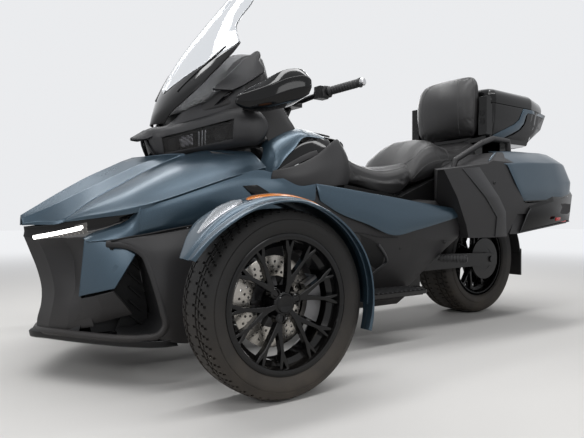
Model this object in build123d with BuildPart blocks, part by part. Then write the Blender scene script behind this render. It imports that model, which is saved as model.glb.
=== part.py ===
"""Three-wheeled touring motorcycle: two steered front wheels, one driven rear wheel.

Millimetres. X points forward, Y to the vehicle's left, Z up, and z = 0 is the floor.
The origin lies on the floor, half way along the vehicle, on its centre plane.
"""

import os
from math import cos, radians, sin

from build123d import *

os.makedirs("parts", exist_ok=True)

# Wheels and track
wheelbase = 1714
front_axle_x = 817
rear_axle_x = front_axle_x - wheelbase
half_track = 654
front_tyre_radius = 281
front_tyre_width = 165
rear_tyre_radius = 303
rear_tyre_width = 225
bead_radius = 190.5
flange_radius = 207
front_rim_width = 127
rear_rim_width = 178
rim_wall = 6
spoke_pairs = 6
disc_radius = 139
disc_thickness = 6
disc_windows = 10
axle_radius = 16.5
bearing_clearance = 0.5

# Front suspension and steering
kingpin_y = 575
kingpin_low = (822, kingpin_y, 165)
kingpin_high = (812, kingpin_y, 395)
kingpin_radius = 9
ball_housing_radius = 22
ball_housing_height = 24
arm_tube_radius = 13
lower_pivot_z = 175
upper_pivot_z = 400
pivot_xs = (720, 900)
steering_arm_length = 115
steering_arm_z = 228
steering_arm_thickness = 14
tie_rod_radius = 9
rod_eye_gap = 0.5
rack_radius = 12
rack_clearance = 0.4
column_top = (318, 0, 1035)
column_tilt = 25
column_radius = 16
column_length = 250
bar_radius = 11
grip_radius = 17

# Frame and running gear
rail_inner_y = 130
rail_outer_y = 162
rail_z = (150, 190)
frame_front_x = 1030
post_width = 30
pivot_x = -330
pivot_z = 300
swingarm_inner_y = 146
swingarm_outer_y = 172
subframe_z = (628, 655)

# Bodywork
panel_gap = 4
lid_thickness = 24
tub_half_width = 128
tub_wall = 4
fender_inner_y = 580
fender_outer_y = 777
fender_thickness = 5

# Luggage
bag_inner_y = 190
bag_outer_y = 474
bag_wall = 6
case_wall = 6
case_split_z = 1128

SIDES = {"left": 1, "right": -1}


def outline(plane, points):
    """A closed polygon on a plane."""
    with BuildSketch(plane) as sketch:
        with BuildLine():
            Polyline(*points, close=True)
        make_face()
    return sketch.sketch


def mirrored(half):
    """A half outline that starts and ends on the centre line, closed by its mirror image."""
    return half + [(-y, z) for y, z in reversed(half) if y != 0]


def cross_sections(stations):
    """Faces across the vehicle, one for each station (x, half outline of (y, z))."""
    return [outline(Plane.YZ.offset(x), mirrored(half)) for x, half in stations]


def side_sections(stations):
    """Faces across one side only, one for each station (x, closed outline of (y, z))."""
    return [outline(Plane.YZ.offset(x), points) for x, points in stations]


def level_sections(stations):
    """Faces level with the floor, one for each station (z, half outline of (x, y))."""
    faces = []
    for z, half in stations:
        points = half + [(x, -y) for x, y in reversed(half) if y != 0]
        faces.append(outline(Plane.XY.offset(z), points))
    return faces


def plate(points, near_y, far_y, side=1, mode=Mode.ADD):
    """A side view outline of (x, z) points, thick from near_y to far_y on one side."""
    face = outline(Plane.XZ.offset(-side * near_y), points)
    extrude(face, amount=-side * (far_y - near_y), mode=mode)


def bar_between(start, end, radius, mode=Mode.ADD):
    """A round bar from one point to another."""
    path = Vector(*end) - Vector(*start)
    with BuildSketch(Plane(origin=start, z_dir=path)) as section:
        Circle(radius)
    extrude(section.sketch, amount=path.length, mode=mode)


def block(low, high, mode=Mode.ADD):
    """A box between two opposite corners."""
    size = [b - a for a, b in zip(low, high)]
    middle = tuple((a + b) / 2 for a, b in zip(low, high))
    with Locations(middle):
        Box(*size, mode=mode)


def polar(radius, degrees, centre=(front_axle_x, front_tyre_radius)):
    """A point (x, z) at an angle round a wheel's centre, measured up from straight ahead."""
    angle = radians(degrees)
    return (centre[0] + radius * cos(angle), centre[1] + radius * sin(angle))


def wheel_plane(x, y, z, side=1):
    """A plane through a wheel's axis: local x outwards along the axle, local y up."""
    return Plane(origin=(x, side * y, z), x_dir=(0, side, 0), z_dir=(side, 0, 0))


def finish(part, label):
    """Label a piece and write it."""
    part.label = label
    export_step(part, f"parts/{label}.step")


# Frame, with the steering rack's housing across the lower rails

rod_z = steering_arm_z + steering_arm_thickness + rod_eye_gap
rod_x = kingpin_low[0] - 3 + steering_arm_length
rack_axis_z = rod_z + rack_radius

with BuildPart() as main_frame:
    # One side: lower rail, suspension posts, swingarm plate, subframe leg and rail
    block((pivot_x - 40, rail_inner_y, rail_z[0]), (frame_front_x, rail_outer_y, rail_z[1]))
    for x in pivot_xs:
        block((x - post_width / 2, rail_inner_y, rail_z[0]), (x + post_width / 2, rail_outer_y, 500))
    block((pivot_x - 40, rail_inner_y - 15, rail_z[0]), (pivot_x + 40, rail_inner_y + 12, 420))
    block((pivot_x - 20, rail_inner_y - 15, 400), (pivot_x + 20, rail_inner_y + 12, subframe_z[1]))
    block((-1180, rail_inner_y, subframe_z[0]), (-120, rail_outer_y, subframe_z[1]))
    mirror(about=Plane.XZ)
    # Across the vehicle: cross members and the swingarm's pivot tube
    for x, z in ((pivot_xs[0], 150), (pivot_xs[1] - 40, 150), (pivot_xs[0], 440), (200, 150)):
        block((x - post_width / 2, -rail_inner_y, z), (x + post_width / 2, rail_inner_y, z + 35))
    block((-160, -rail_inner_y, subframe_z[0]), (-120, rail_inner_y, subframe_z[1]))
    block((-1180, -rail_inner_y, subframe_z[0]), (-1150, rail_inner_y, subframe_z[1]))
    bar_between((pivot_x, -swingarm_outer_y, pivot_z), (pivot_x, swingarm_outer_y, pivot_z), 14)
    bar_between((rod_x, -150, rack_axis_z), (rod_x, 150, rack_axis_z), rack_radius + 10)
    for y_low, y_high in ((rail_inner_y, 150), (-150, -rail_inner_y)):
        block((rod_x - 16, y_low, rail_z[1]), (rod_x + 20, y_high, rack_axis_z))
    rack_bore = rack_radius + rack_clearance
    bar_between((rod_x, -170, rack_axis_z), (rod_x, 170, rack_axis_z), rack_bore, Mode.SUBTRACT)
finish(main_frame.part, "main_frame")

with BuildPart() as engine_block:
    with BuildSketch(Plane.XZ.offset(-185)):
        with BuildLine():
            Polyline(
                (-230, 230), (-150, 192), (330, 192), (430, 260), (430, 430), (330, 560),
                (20, 590), (-190, 500), close=True,
            )
        make_face()
    extrude(amount=370)
    chamfer(engine_block.edges().group_by(Axis.Y)[0] + engine_block.edges().group_by(Axis.Y)[-1], 18)
finish(engine_block.part, "engine_block")

with BuildPart() as belly_pan:
    loft(
        level_sections(
            [
                (118, [(960, 0), (960, 120), (900, 150), (-200, 150), (-240, 120), (-240, 0)]),
                (149.7, [(990, 0), (990, 140), (930, 170), (-230, 170), (-270, 140), (-270, 0)]),
            ]
        ),
        ruled=True,
    )
finish(belly_pan.part, "belly_pan")

# Front suspension

column_axis = Vector(-sin(radians(column_tilt)), 0, cos(radians(column_tilt)))
kingpin_axis = (Vector(*kingpin_high) - Vector(*kingpin_low)).normalized()
kingpin = Plane(origin=kingpin_low, x_dir=(0, 1, 0), z_dir=kingpin_axis)
kingpin_span = (Vector(*kingpin_high) - Vector(*kingpin_low)).length

with BuildPart() as suspension_arms:
    for ball, pivot_z_level, pivot_y, height in (
        (kingpin_low, lower_pivot_z, rail_outer_y - 10, 0),
        (kingpin_high, upper_pivot_z, rail_outer_y - 10, kingpin_span),
    ):
        for x in pivot_xs:
            bar_between((x, pivot_y, pivot_z_level), ball, arm_tube_radius)
        brace_share = 0.45
        front, rear = [
            Vector(x, pivot_y, pivot_z_level) * (1 - brace_share) + Vector(*ball) * brace_share
            for x in pivot_xs
        ]
        bar_between(tuple(front), tuple(rear), arm_tube_radius * 0.8)
        with BuildSketch(kingpin.offset(height - ball_housing_height / 2)) as housing:
            Circle(ball_housing_radius)
        extrude(housing.sketch, amount=ball_housing_height)
        with BuildSketch(kingpin.offset(height - ball_housing_height)) as bore:
            Circle(kingpin_radius + 0.4)
        extrude(bore.sketch, amount=2 * ball_housing_height, mode=Mode.SUBTRACT)
    mirror(about=Plane.XZ)
    add(main_frame.part, mode=Mode.SUBTRACT)
finish(suspension_arms.part, "suspension_arms")

shock_low = Vector(818, 392, 196)
shock_high = Vector(818, 172, 470)
shock_plane = Plane(origin=shock_low, x_dir=(1, 0, 0), z_dir=shock_high - shock_low)
shock_length = (shock_high - shock_low).length
coil_turns = 6

with BuildPart() as shock_absorbers:
    with BuildSketch(Plane(origin=shock_low, x_dir=(1, 0, 0), z_dir=shock_plane.y_dir)) as profile:
        with BuildLine():
            pitch = (shock_length - 90) / coil_turns
            points = [(0, 0), (14, 0), (14, 38)]
            for turn in range(coil_turns):
                foot = 45 + turn * pitch
                points += [(23, foot), (31, foot + 0.3 * pitch)]
                points += [(31, foot + 0.5 * pitch), (23, foot + 0.8 * pitch)]
            points += [(14, shock_length - 38), (14, shock_length), (0, shock_length)]
            Polyline(*[(across, -along) for across, along in points], close=True)
        make_face()
    revolve(profile.sketch, axis=Axis(shock_low, shock_high - shock_low))
    mirror(about=Plane.XZ)
    # Lower clevis on the arm and upper bracket out from the frame's upper rail
    for side in (1, -1):
        block((800, min(side * 158, side * 192), 452), (836, max(side * 158, side * 192), 488))
        block((735, min(side * 134, side * 160), 455), (905, max(side * 134, side * 160), 487))
    add(suspension_arms.part, mode=Mode.SUBTRACT)
    add(main_frame.part, mode=Mode.SUBTRACT)
finish(shock_absorbers.part, "shock_absorbers")

with BuildPart() as tie_rods:
    bar_between((rod_x, -230, rack_axis_z), (rod_x, 230, rack_axis_z), rack_radius)
    bar_between((rod_x, -kingpin_y, rack_axis_z), (rod_x, kingpin_y, rack_axis_z), tie_rod_radius)
    for side in (1, -1):
        bar_between((rod_x, side * kingpin_y, rod_z), (rod_x, side * kingpin_y, rod_z + 2 * rack_radius), 14)
finish(tie_rods.part, "tie_rods")

# Knuckles, brakes and fenders

disc_y = 632
caliper_inner, caliper_outer = 104, 157
# The fender's outer surface, and a raised band on it, each as radius and angle from the axle
fender_curve = [(363, 23.5), (324, 46), (305, 84), (303, 140), (294, 198)]
fender_band_curve = [(341, 35), (323, 53), (312, 84), (310, 132), (301, 182)]
fender_band_outer_y = 744
# What the band carries, as name: angles, y and height over the band
fender_lamp = (44, 56, 68), (698, 739), 3
fender_reflector = (73, 103, 133), (718, 741), 2

def band_radius(angle):
    """The raised band's radius at an angle, read between the points of its curve."""
    for (first, start), (last, end) in zip(fender_band_curve, fender_band_curve[1:]):
        if angle <= end:
            return first + (last - first) * (angle - start) / (end - start)
    return fender_band_curve[-1][0]


def arch_section(plane, curve, depth):
    """A curved strip in side view, through five points of a curve and as deep as given."""
    outer = [polar(radius, angle) for radius, angle in curve]
    inner = [polar(radius - depth, angle) for radius, angle in curve]
    with BuildSketch(plane) as section:
        with BuildLine():
            ThreePointArc(outer[0], outer[1], outer[2])
            ThreePointArc(outer[2], outer[3], outer[4])
            Line(outer[4], inner[4])
            ThreePointArc(inner[4], inner[3], inner[2])
            ThreePointArc(inner[2], inner[1], inner[0])
            Line(inner[0], outer[0])
        make_face()
    return section.sketch


def inlay_section(plane, angles, height):
    """A lamp or reflector in side view: a stretch of the band, standing a little over it."""
    far = [polar(band_radius(angle) + height, angle) for angle in angles]
    near = [polar(band_radius(angle) - 8, angle) for angle in angles]
    with BuildSketch(plane) as section:
        with BuildLine():
            ThreePointArc(*far)
            Line(far[2], near[2])
            ThreePointArc(*reversed(near))
            Line(near[0], far[0])
        make_face()
    return section.sketch


def caliper_section(plane, axle, angles):
    """A brake caliper in side view: a stretch of ring round the axle."""
    far = [polar(caliper_outer, angle, axle) for angle in angles]
    near = [polar(caliper_inner, angle, axle) for angle in angles]
    with BuildSketch(plane) as section:
        with BuildLine():
            ThreePointArc(*far)
            Line(far[2], near[2])
            ThreePointArc(*reversed(near))
            Line(near[0], far[0])
        make_face()
    return section.sketch


for side_name, side in SIDES.items():
    knuckle_pin = Plane(origin=(kingpin_low[0], side * kingpin_y, kingpin_low[2]), z_dir=kingpin_axis)

    with BuildPart() as fender:
        inner_plane = Plane.XZ.offset(-side * fender_inner_y)
        shell = arch_section(inner_plane, fender_curve, fender_thickness)
        extrude(shell, amount=-side * (fender_outer_y - fender_inner_y))
        # Flared lip with its turned-down rim
        lip = arch_section(Plane.XZ.offset(-side * (fender_outer_y - 4)), fender_curve, 15)
        extrude(lip, amount=-side * 4)
        # Raised band with its slanted edge, which stops short of the lip
        raised = arch_section(inner_plane, fender_band_curve, 12)
        extrude(raised, amount=-side * (fender_band_outer_y - fender_inner_y))
        for angles, (near_y, far_y), height in (fender_lamp, fender_reflector):
            inlay = inlay_section(Plane.XZ.offset(-side * near_y), angles, height)
            extrude(inlay, amount=-side * (far_y - near_y))
    finish(fender.part, f"fender_{side_name}")

    with BuildPart() as upright:
        axle_x, axle_z = front_axle_x, front_tyre_radius
        plate(
            [
                (axle_x - 22, 184), (axle_x + 30, 184), (axle_x + 44, 262), (axle_x + 48, 330),
                (axle_x + 86, 336), (axle_x + 86, 362), (axle_x + 20, 378), (axle_x - 24, 378),
                (axle_x - 40, 315), (axle_x - 146, 318), (axle_x - 146, 244), (axle_x - 40, 247),
            ],
            556, 600, side,
        )
        stay = [(axle_x + 54, 345), (axle_x + 82, 345), (axle_x + 82, 586), (axle_x + 54, 586)]
        plate(stay, 546, 560, side)
        shelf = [(axle_x + 20, 568), (axle_x + 100, 568), (axle_x + 100, 586), (axle_x + 20, 586)]
        plate(shelf, 546, 640, side)
        plate(
            [(axle_x, steering_arm_z), (axle_x, 242), (rod_x + 12, 242), (rod_x + 12, steering_arm_z)],
            562, 588, side,
        )
        bar_between((axle_x, side * 600, axle_z), (axle_x, side * 616, axle_z), 30)
        with BuildSketch(knuckle_pin.offset(-ball_housing_height / 2)) as pin:
            Circle(kingpin_radius)
        extrude(pin.sketch, amount=kingpin_span + ball_housing_height)
        # Room for the disc and for the ball housings, and the seat under the fender
        for height in (0, kingpin_span):
            with BuildSketch(knuckle_pin.offset(height - ball_housing_height / 2 - 3)) as room:
                Circle(ball_housing_radius + 12)
                Circle(kingpin_radius, mode=Mode.SUBTRACT)
            extrude(room.sketch, amount=ball_housing_height + 6, mode=Mode.SUBTRACT)
        add(fender.part, mode=Mode.SUBTRACT)
        above_stay = [(axle_x - 60, 586.5), (axle_x + 140, 586.5), (axle_x + 140, 620), (axle_x - 60, 620)]
        plate(above_stay, 545, 645, side, Mode.SUBTRACT)
        # Brake caliper behind the axle, with the slot that the disc runs in
        caliper_plane = Plane.XZ.offset(-side * 599)
        caliper = caliper_section(caliper_plane, (front_axle_x, front_tyre_radius), (152, 180, 208))
        extrude(caliper, amount=-side * 67)
        with BuildSketch(Plane.XZ.offset(-side * (disc_y - 6))) as slot:
            with Locations((front_axle_x, front_tyre_radius)):
                Circle(disc_radius + 6)
        extrude(slot.sketch, amount=-side * (disc_thickness + 12), mode=Mode.SUBTRACT)
        bar_between((axle_x, side * 610, axle_z), (axle_x, side * 700, axle_z), axle_radius)
    finish(upright.part, f"upright_{side_name}")


# Wheels


def rim_profile(width):
    """The rim's wall in section: (distance out from the centre, radius)."""
    seat = width / 2
    half = [
        (seat + rim_wall, flange_radius), (seat, flange_radius), (seat, bead_radius),
        (seat - 26, bead_radius), (seat - 36, 174),
    ]
    inner = [(seat - 38, 167), (seat - 27, 182), (seat + rim_wall, 184)]
    left = [(-w, r) for w, r in reversed(half)]
    inner_left = [(-w, r) for w, r in reversed(inner)]
    return half + left + inner_left + inner


def tyre_profile(width, radius, rim_width):
    """The tyre's wall in section, from bead to bead."""
    seat, half = rim_width / 2, width / 2
    outer = [
        (seat, bead_radius), (seat, flange_radius + 1), (half - 7, flange_radius + 11),
        (half, flange_radius + 32), (half - 3, radius - 24), (half - 12, radius - 9),
        (half - 27, radius - 2), (0, radius),
    ]
    inner = [
        (0, radius - 13), (half - 26, radius - 16), (half - 13, radius - 34),
        (seat - 14, bead_radius + 8), (seat - 14, bead_radius),
    ]
    far_outer = [(-w, r) for w, r in reversed(outer[:-1])]
    far_inner = [(-w, r) for w, r in reversed(inner[1:])]
    return outer + far_outer + far_inner + inner


for side_name, side in SIDES.items():
    hub = wheel_plane(front_axle_x, half_track, front_tyre_radius, side)
    hub_axis = Axis((front_axle_x, side * half_track, front_tyre_radius), (0, 1, 0))

    with BuildPart() as front_rim:
        revolve(outline(hub, rim_profile(front_rim_width)), axis=hub_axis)
        # Hub barrel from the bearing to the centre cap
        with BuildSketch(Plane.XZ.offset(-side * (half_track - 30))) as barrel:
            with Locations((front_axle_x, front_tyre_radius)):
                Circle(34)
        extrude(barrel.sketch, amount=-side * 90)
        with BuildSketch(Plane.XZ.offset(-side * (half_track + 34))) as spokes:
            with Locations((front_axle_x, front_tyre_radius)):
                with PolarLocations(0, spoke_pairs, start_angle=15):
                    fork = [(22, 2), (112, 20), (170, 70), (180, 52), (126, 15)]
                    fork += [(187, 14), (187, 5), (116, 5), (30, -6)]
                    Polygon(*fork, align=None)
                    Polygon(*[(x, -y) for x, y in fork], align=None)
        extrude(spokes.sketch, amount=-side * 26)
        with BuildSketch(Plane.XZ.offset(-side * (half_track - 31))) as bore:
            with Locations((front_axle_x, front_tyre_radius)):
                Circle(axle_radius + bearing_clearance)
        extrude(bore.sketch, amount=-side * 80, mode=Mode.SUBTRACT)
    finish(front_rim.part, f"front_rim_{side_name}")

    with BuildPart() as front_tyre:
        profile = tyre_profile(front_tyre_width, front_tyre_radius, front_rim_width)
        revolve(outline(hub, profile), axis=hub_axis)
    finish(front_tyre.part, f"front_tyre_{side_name}")

    with BuildPart() as front_disc:
        with BuildSketch(Plane.XZ.offset(-side * disc_y)) as rotor:
            with Locations((front_axle_x, front_tyre_radius)):
                Circle(disc_radius)
                Circle(34, mode=Mode.SUBTRACT)
                with PolarLocations(68, 6):
                    Circle(15, mode=Mode.SUBTRACT)
                with PolarLocations(disc_radius - 34, disc_windows):
                    SlotOverall(24, 12, rotation=90, mode=Mode.SUBTRACT)
        extrude(rotor.sketch, amount=-side * disc_thickness)
    finish(front_disc.part, f"front_disc_{side_name}")

rear_hub = wheel_plane(rear_axle_x, 0, rear_tyre_radius)
rear_axis = Axis((rear_axle_x, 0, rear_tyre_radius), (0, 1, 0))

# The driven pulley sits left of the rear wheel and the brake disc right of it
pulley_radius, pulley_y, pulley_thickness = 112, 118, 14
hub_radius = 38
rear_disc_y = -118

with BuildPart() as rear_rim:
    revolve(outline(rear_hub, rim_profile(rear_rim_width)), axis=rear_axis)
    with BuildSketch(Plane.XZ.offset(-132)) as barrel:
        with Locations((rear_axle_x, rear_tyre_radius)):
            Circle(hub_radius)
    extrude(barrel.sketch, amount=264)
    with BuildSketch(Plane.XZ.offset(-40)) as spokes:
        with Locations((rear_axle_x, rear_tyre_radius)):
            with PolarLocations(0, spoke_pairs, start_angle=30):
                vee = [(30, 14), (170, 36), (171, 16), (60, 0), (171, -16), (170, -36), (30, -14)]
                Polygon(*vee, align=None)
    extrude(spokes.sketch, amount=80)
    with BuildSketch(Plane.XZ.offset(-pulley_y)) as pulley:
        with Locations((rear_axle_x, rear_tyre_radius)):
            Circle(pulley_radius)
            Circle(hub_radius - 4, mode=Mode.SUBTRACT)
            with PolarLocations(72, 6):
                Circle(20, mode=Mode.SUBTRACT)
    extrude(pulley.sketch, amount=-pulley_thickness)
    with BuildSketch(Plane.XZ.offset(-rear_disc_y)) as rotor:
        with Locations((rear_axle_x, rear_tyre_radius)):
            Circle(disc_radius)
            Circle(hub_radius - 4, mode=Mode.SUBTRACT)
            with PolarLocations(72, 6):
                Circle(14, mode=Mode.SUBTRACT)
            with PolarLocations(disc_radius - 34, disc_windows):
                SlotOverall(24, 12, rotation=90, mode=Mode.SUBTRACT)
    extrude(rotor.sketch, amount=disc_thickness)
    with BuildSketch(Plane.XZ.offset(-133)) as bore:
        with Locations((rear_axle_x, rear_tyre_radius)):
            Circle(axle_radius + bearing_clearance)
    extrude(bore.sketch, amount=266, mode=Mode.SUBTRACT)
finish(rear_rim.part, "rear_rim")

with BuildPart() as rear_tyre:
    profile = tyre_profile(rear_tyre_width, rear_tyre_radius, rear_rim_width)
    revolve(outline(rear_hub, profile), axis=rear_axis)
finish(rear_tyre.part, "rear_tyre")

# Rear suspension, drive and exhaust

axle_point = (rear_axle_x, rear_tyre_radius)

with BuildPart() as swingarm:
    for side in (1, -1):
        plate(
            [
                (pivot_x + 34, pivot_z - 34), (pivot_x + 34, pivot_z + 34), (pivot_x - 120, pivot_z + 46),
                (rear_axle_x + 60, rear_tyre_radius + 34), (rear_axle_x - 52, rear_tyre_radius + 30),
                (rear_axle_x - 52, rear_tyre_radius - 30), (rear_axle_x + 60, rear_tyre_radius - 32),
            ],
            swingarm_inner_y, swingarm_outer_y, side,
        )
    block((pivot_x - 150, -swingarm_inner_y, pivot_z - 22), (pivot_x - 95, swingarm_inner_y, pivot_z + 30))
    # Brake caliper and its bracket, round the top front of the disc
    extrude(caliper_section(Plane.XZ.offset(108), axle_point, (28, 50, 72)), amount=44)
    with BuildSketch(Plane.XZ.offset(112)) as slot:
        with Locations(axle_point):
            Circle(disc_radius + 6)
    extrude(slot.sketch, amount=18, mode=Mode.SUBTRACT)
    bracket = [(97, 17), (157, 17), (145, 89), (107, 97)]
    bracket = [(rear_axle_x + x, rear_tyre_radius + z) for x, z in bracket]
    plate(bracket, swingarm_inner_y, swingarm_inner_y + 10, -1)
    bar_between((rear_axle_x, -180, rear_tyre_radius), (rear_axle_x, 180, rear_tyre_radius), axle_radius)
    add(main_frame.part, mode=Mode.SUBTRACT)
finish(swingarm.part, "swingarm")

tailpipe_length, tailpipe_radius, tailpipe_bore = 46, 30, 24

with BuildPart() as muffler:
    muffler_start, muffler_end = (-420, -252, 300), (-1130, -300, 352)
    muffler_path = Vector(*muffler_end) - Vector(*muffler_start)
    with BuildSketch(Plane(origin=muffler_start, x_dir=(0, 1, 0), z_dir=muffler_path)) as can:
        RectangleRounded(144, 124, 56)
    extrude(can.sketch, amount=muffler_path.length)
    chamfer(muffler.edges(), 16)
    pipe_end = tuple(Vector(*muffler_end) + muffler_path.normalized() * tailpipe_length)
    bar_between(muffler_end, pipe_end, tailpipe_radius)
    bar_between(muffler_end, pipe_end, tailpipe_bore, Mode.SUBTRACT)
    bar_between((-460, -252, 302), (-250, -215, 240), 26)
    block((-560, -188, 300), (-520, -150, subframe_z[0]))
    block((-560, -252, 330), (-520, -170, 370))
    add(main_frame.part, mode=Mode.SUBTRACT)
    add(swingarm.part, mode=Mode.SUBTRACT)
finish(muffler.part, "muffler")

hugger_half_width = rear_tyre_width / 2 + 13.5
hugger_radius = rear_tyre_radius + 29
flap_x = rear_axle_x - rear_tyre_radius - 42
flap_low_z = 190

with BuildPart() as rear_fender:
    with BuildSketch(Plane.XZ.offset(-hugger_half_width)) as band:
        with BuildLine():
            hugger = ((hugger_radius, 62), (hugger_radius, 120), (hugger_radius + 14, 176))
            outer = [polar(radius, angle, axle_point) for radius, angle in hugger]
            inner = [polar(radius - 6, angle, axle_point) for radius, angle in hugger]
            ThreePointArc(*outer)
            Line(outer[2], inner[2])
            ThreePointArc(*reversed(inner))
            Line(inner[0], outer[0])
        make_face()
    extrude(band.sketch, amount=2 * hugger_half_width)
    block(
        (flap_x - 12, -hugger_half_width, flap_low_z),
        (flap_x, hugger_half_width, rear_tyre_radius + 42),
    )
    block((-1172, -50, rear_tyre_radius + 60), (-1158, 50, subframe_z[0]))
    with BuildSketch(Plane.XZ.offset(-hugger_half_width - 4)) as clearance:
        with Locations(axle_point):
            Circle(hugger_radius - 6)
    extrude(clearance.sketch, amount=2 * hugger_half_width + 8, mode=Mode.SUBTRACT)
finish(rear_fender.part, "rear_fender")

# Front bodywork, from the splitter up. Each row: height, half outline of (x, y)

tub_outline = [(905, 345), (1190, 345), (1245, 400), (1245, 530), (905, 722)]
nose_top_z = 470

with BuildPart() as splitter:
    loft(
        level_sections(
            [
                (130, [(1388, 0), (1350, 62), (1240, 262), (1180, 348), (1110, 408), (1030, 412), (1030, 0)]),
                (160, [(1391, 0), (1352, 64), (1244, 266), (1184, 352), (1112, 414), (1030, 418), (1030, 0)]),
            ]
        ),
        ruled=True,
    )
finish(splitter.part, "splitter")

bumper_levels = [
    (160, [(1362, 0), (1330, 62), (1238, 240), (1180, 330), (1105, 402), (1030, 416), (1030, 0)]),
    (250, [(1345, 0), (1318, 60), (1248, 190), (1176, 310), (1088, 396), (1030, 412), (1030, 0)]),
    (350, [(1348, 0), (1318, 58), (1250, 190), (1168, 302), (1084, 382), (1030, 398), (1030, 0)]),
    (420, [(1380, 0), (1342, 55), (1244, 200), (1146, 304), (1082, 364), (1030, 376), (1030, 0)]),
    (nose_top_z, [(1414, 0), (1370, 50), (1240, 206), (1146, 296), (1080, 350), (1030, 362), (1030, 0)]),
]
intake_outline = [(1135, 416), (1196, 308), (1150, 234), (1176, 168), (1070, 168), (1072, 240), (1108, 412)]
tongue_outline = [(1266, 271), (1194, 312), (1133, 424), (1133, 500), (1262, 500)]
intake_depth_y = 250
cheek_proud = 6

with BuildPart() as nose_bumper:
    loft(level_sections(bumper_levels), ruled=True)
    for side in (1, -1):
        plate(intake_outline, intake_depth_y, 500, side, Mode.SUBTRACT)
        plate(tongue_outline, 100, 500, side, Mode.SUBTRACT)
    plate(tub_outline, -tub_half_width, tub_half_width, 1, Mode.SUBTRACT)
finish(nose_bumper.part, "nose_bumper")

with BuildPart() as cheek_area:
    for side in (1, -1):
        plate(tongue_outline, 100, 480, side)

with BuildPart() as front_cheeks:
    levels = []
    for z, half in bumper_levels:
        grown = [(x + cheek_proud, y + (cheek_proud if y else 0)) for x, y in half[:-2]]
        levels.append((z, grown + [(half[-2][0], half[-2][1] + cheek_proud), half[-1]]))
    loft(level_sections(levels), ruled=True)
    add(cheek_area.part, mode=Mode.INTERSECT)
    plate(tub_outline, -tub_half_width, tub_half_width, 1, Mode.SUBTRACT)
finish(front_cheeks.part, "front_cheeks")

with BuildPart() as intake_area:
    for side in (1, -1):
        plate(intake_outline, intake_depth_y, 500, side)

with BuildPart() as intake_grilles:
    for side in (1, -1):
        plate(intake_outline, intake_depth_y, intake_depth_y + 8, side)
        for step in range(5):
            low = 185 + step * 44
            slat = [(1092, low), (1099, low), (1139, low + 36), (1132, low + 36)]
            plate(slat, intake_depth_y + 8, intake_depth_y + 26, side)
    add(intake_area.part, mode=Mode.INTERSECT)
    add(front_cheeks.part, mode=Mode.SUBTRACT)
finish(intake_grilles.part, "intake_grilles")

# Each row: x, floor z, waist (y, z), shoulder (y, z), seam (y, z), crease (y, z), ridge z
hood_rows = [
    (1412, 506, (22, 506), (26, 512), (20, 520), (12, 530), 541),
    (1372, 508, (54, 508), (56, 520), (44, 534), (30, 545), 560),
    (1300, 520, (134, 520), (138, 530), (126, 540), (66, 574), 614),
    (1205, 534, (224, 534), (228, 544), (137, 596), (74, 622), 676),
    (1116, 548, (300, 548), (308, 566), (142, 645), (84, 674), 715),
    (930, 508, (350, 508), (372, 624), (149, 748), (108, 764), 778),
    (700, 548, (384, 548), (374, 706), (152, 800), (110, 806), 812),
]


def lid_edge(row):
    """The lid's thickness at its seam, thin where the lid runs out at the nose."""
    return min(lid_thickness, (row[4][1] - row[1]) * 0.5 - 1)


hood_sections, lid_sections = [], []
for row in hood_rows:
    x, floor_z, waist, shoulder, seam, crease, ridge = row
    ledge = seam[1] - lid_edge(row) - 0.5
    side_y = seam[0] + panel_gap
    hood_sections.append((x, [(0, floor_z), waist, shoulder, (side_y, seam[1]), (side_y, ledge), (0, ledge)]))
    under = lid_edge(row)
    underside = [(0, ridge - under), (crease[0], crease[1] - under), (seam[0], seam[1] - under)]
    lid_sections.append((x, underside + [seam, crease, (0, ridge)]))

with BuildPart() as front_body:
    loft(cross_sections(hood_sections), ruled=True)
    plate(tub_outline, -tub_half_width, tub_half_width, 1, Mode.SUBTRACT)
    add(main_frame.part, mode=Mode.SUBTRACT)
finish(front_body.part, "front_body")

lid_back_x = 1030

with BuildPart() as trunk_lid:
    loft(cross_sections(lid_sections), ruled=True)
    # The lid's rear edge runs forward to the middle, round the foot of the headlamp mask
    lid_back = [(1450, -500), (1450, 500), (664, 500), (lid_back_x, 0), (664, -500)]
    extrude(outline(Plane.XY.offset(400), lid_back), amount=600, mode=Mode.INTERSECT)
finish(trunk_lid.part, "trunk_lid")

with BuildPart() as trunk_tub:
    plate(tub_outline, -tub_half_width, tub_half_width)
    w = tub_wall
    hollow = [(905 + w, 345 + w), (1190 - w / 2, 345 + w), (1245 - w, 400 + w / 2)]
    hollow += [(1245 - w, 560), (905 + w, 760)]
    plate(hollow, -tub_half_width + w, tub_half_width - w, 1, Mode.SUBTRACT)
finish(trunk_tub.part, "trunk_tub")

slot_setback = 10

with BuildPart() as drl_lamps:
    slot_sections = []
    for row in hood_rows[:5]:
        x, floor_z, waist = row[0], row[1], row[2]
        edge = max(waist[0] - slot_setback, 8)
        slot = [(0, nose_top_z), (edge, nose_top_z), (edge, floor_z - 6), (0, floor_z - 6)]
        slot_sections.append((x - 4, slot))
    loft(cross_sections(slot_sections), ruled=True)
    add(front_body.part, mode=Mode.SUBTRACT)
    add(front_cheeks.part, mode=Mode.SUBTRACT)
    add(nose_bumper.part, mode=Mode.SUBTRACT)
    plate(tub_outline, -tub_half_width, tub_half_width, 1, Mode.SUBTRACT)
finish(drl_lamps.part, "drl_lamps")

# Fairing with the headlamp mask. Each row: x, then the half outline of (y, z)

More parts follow.
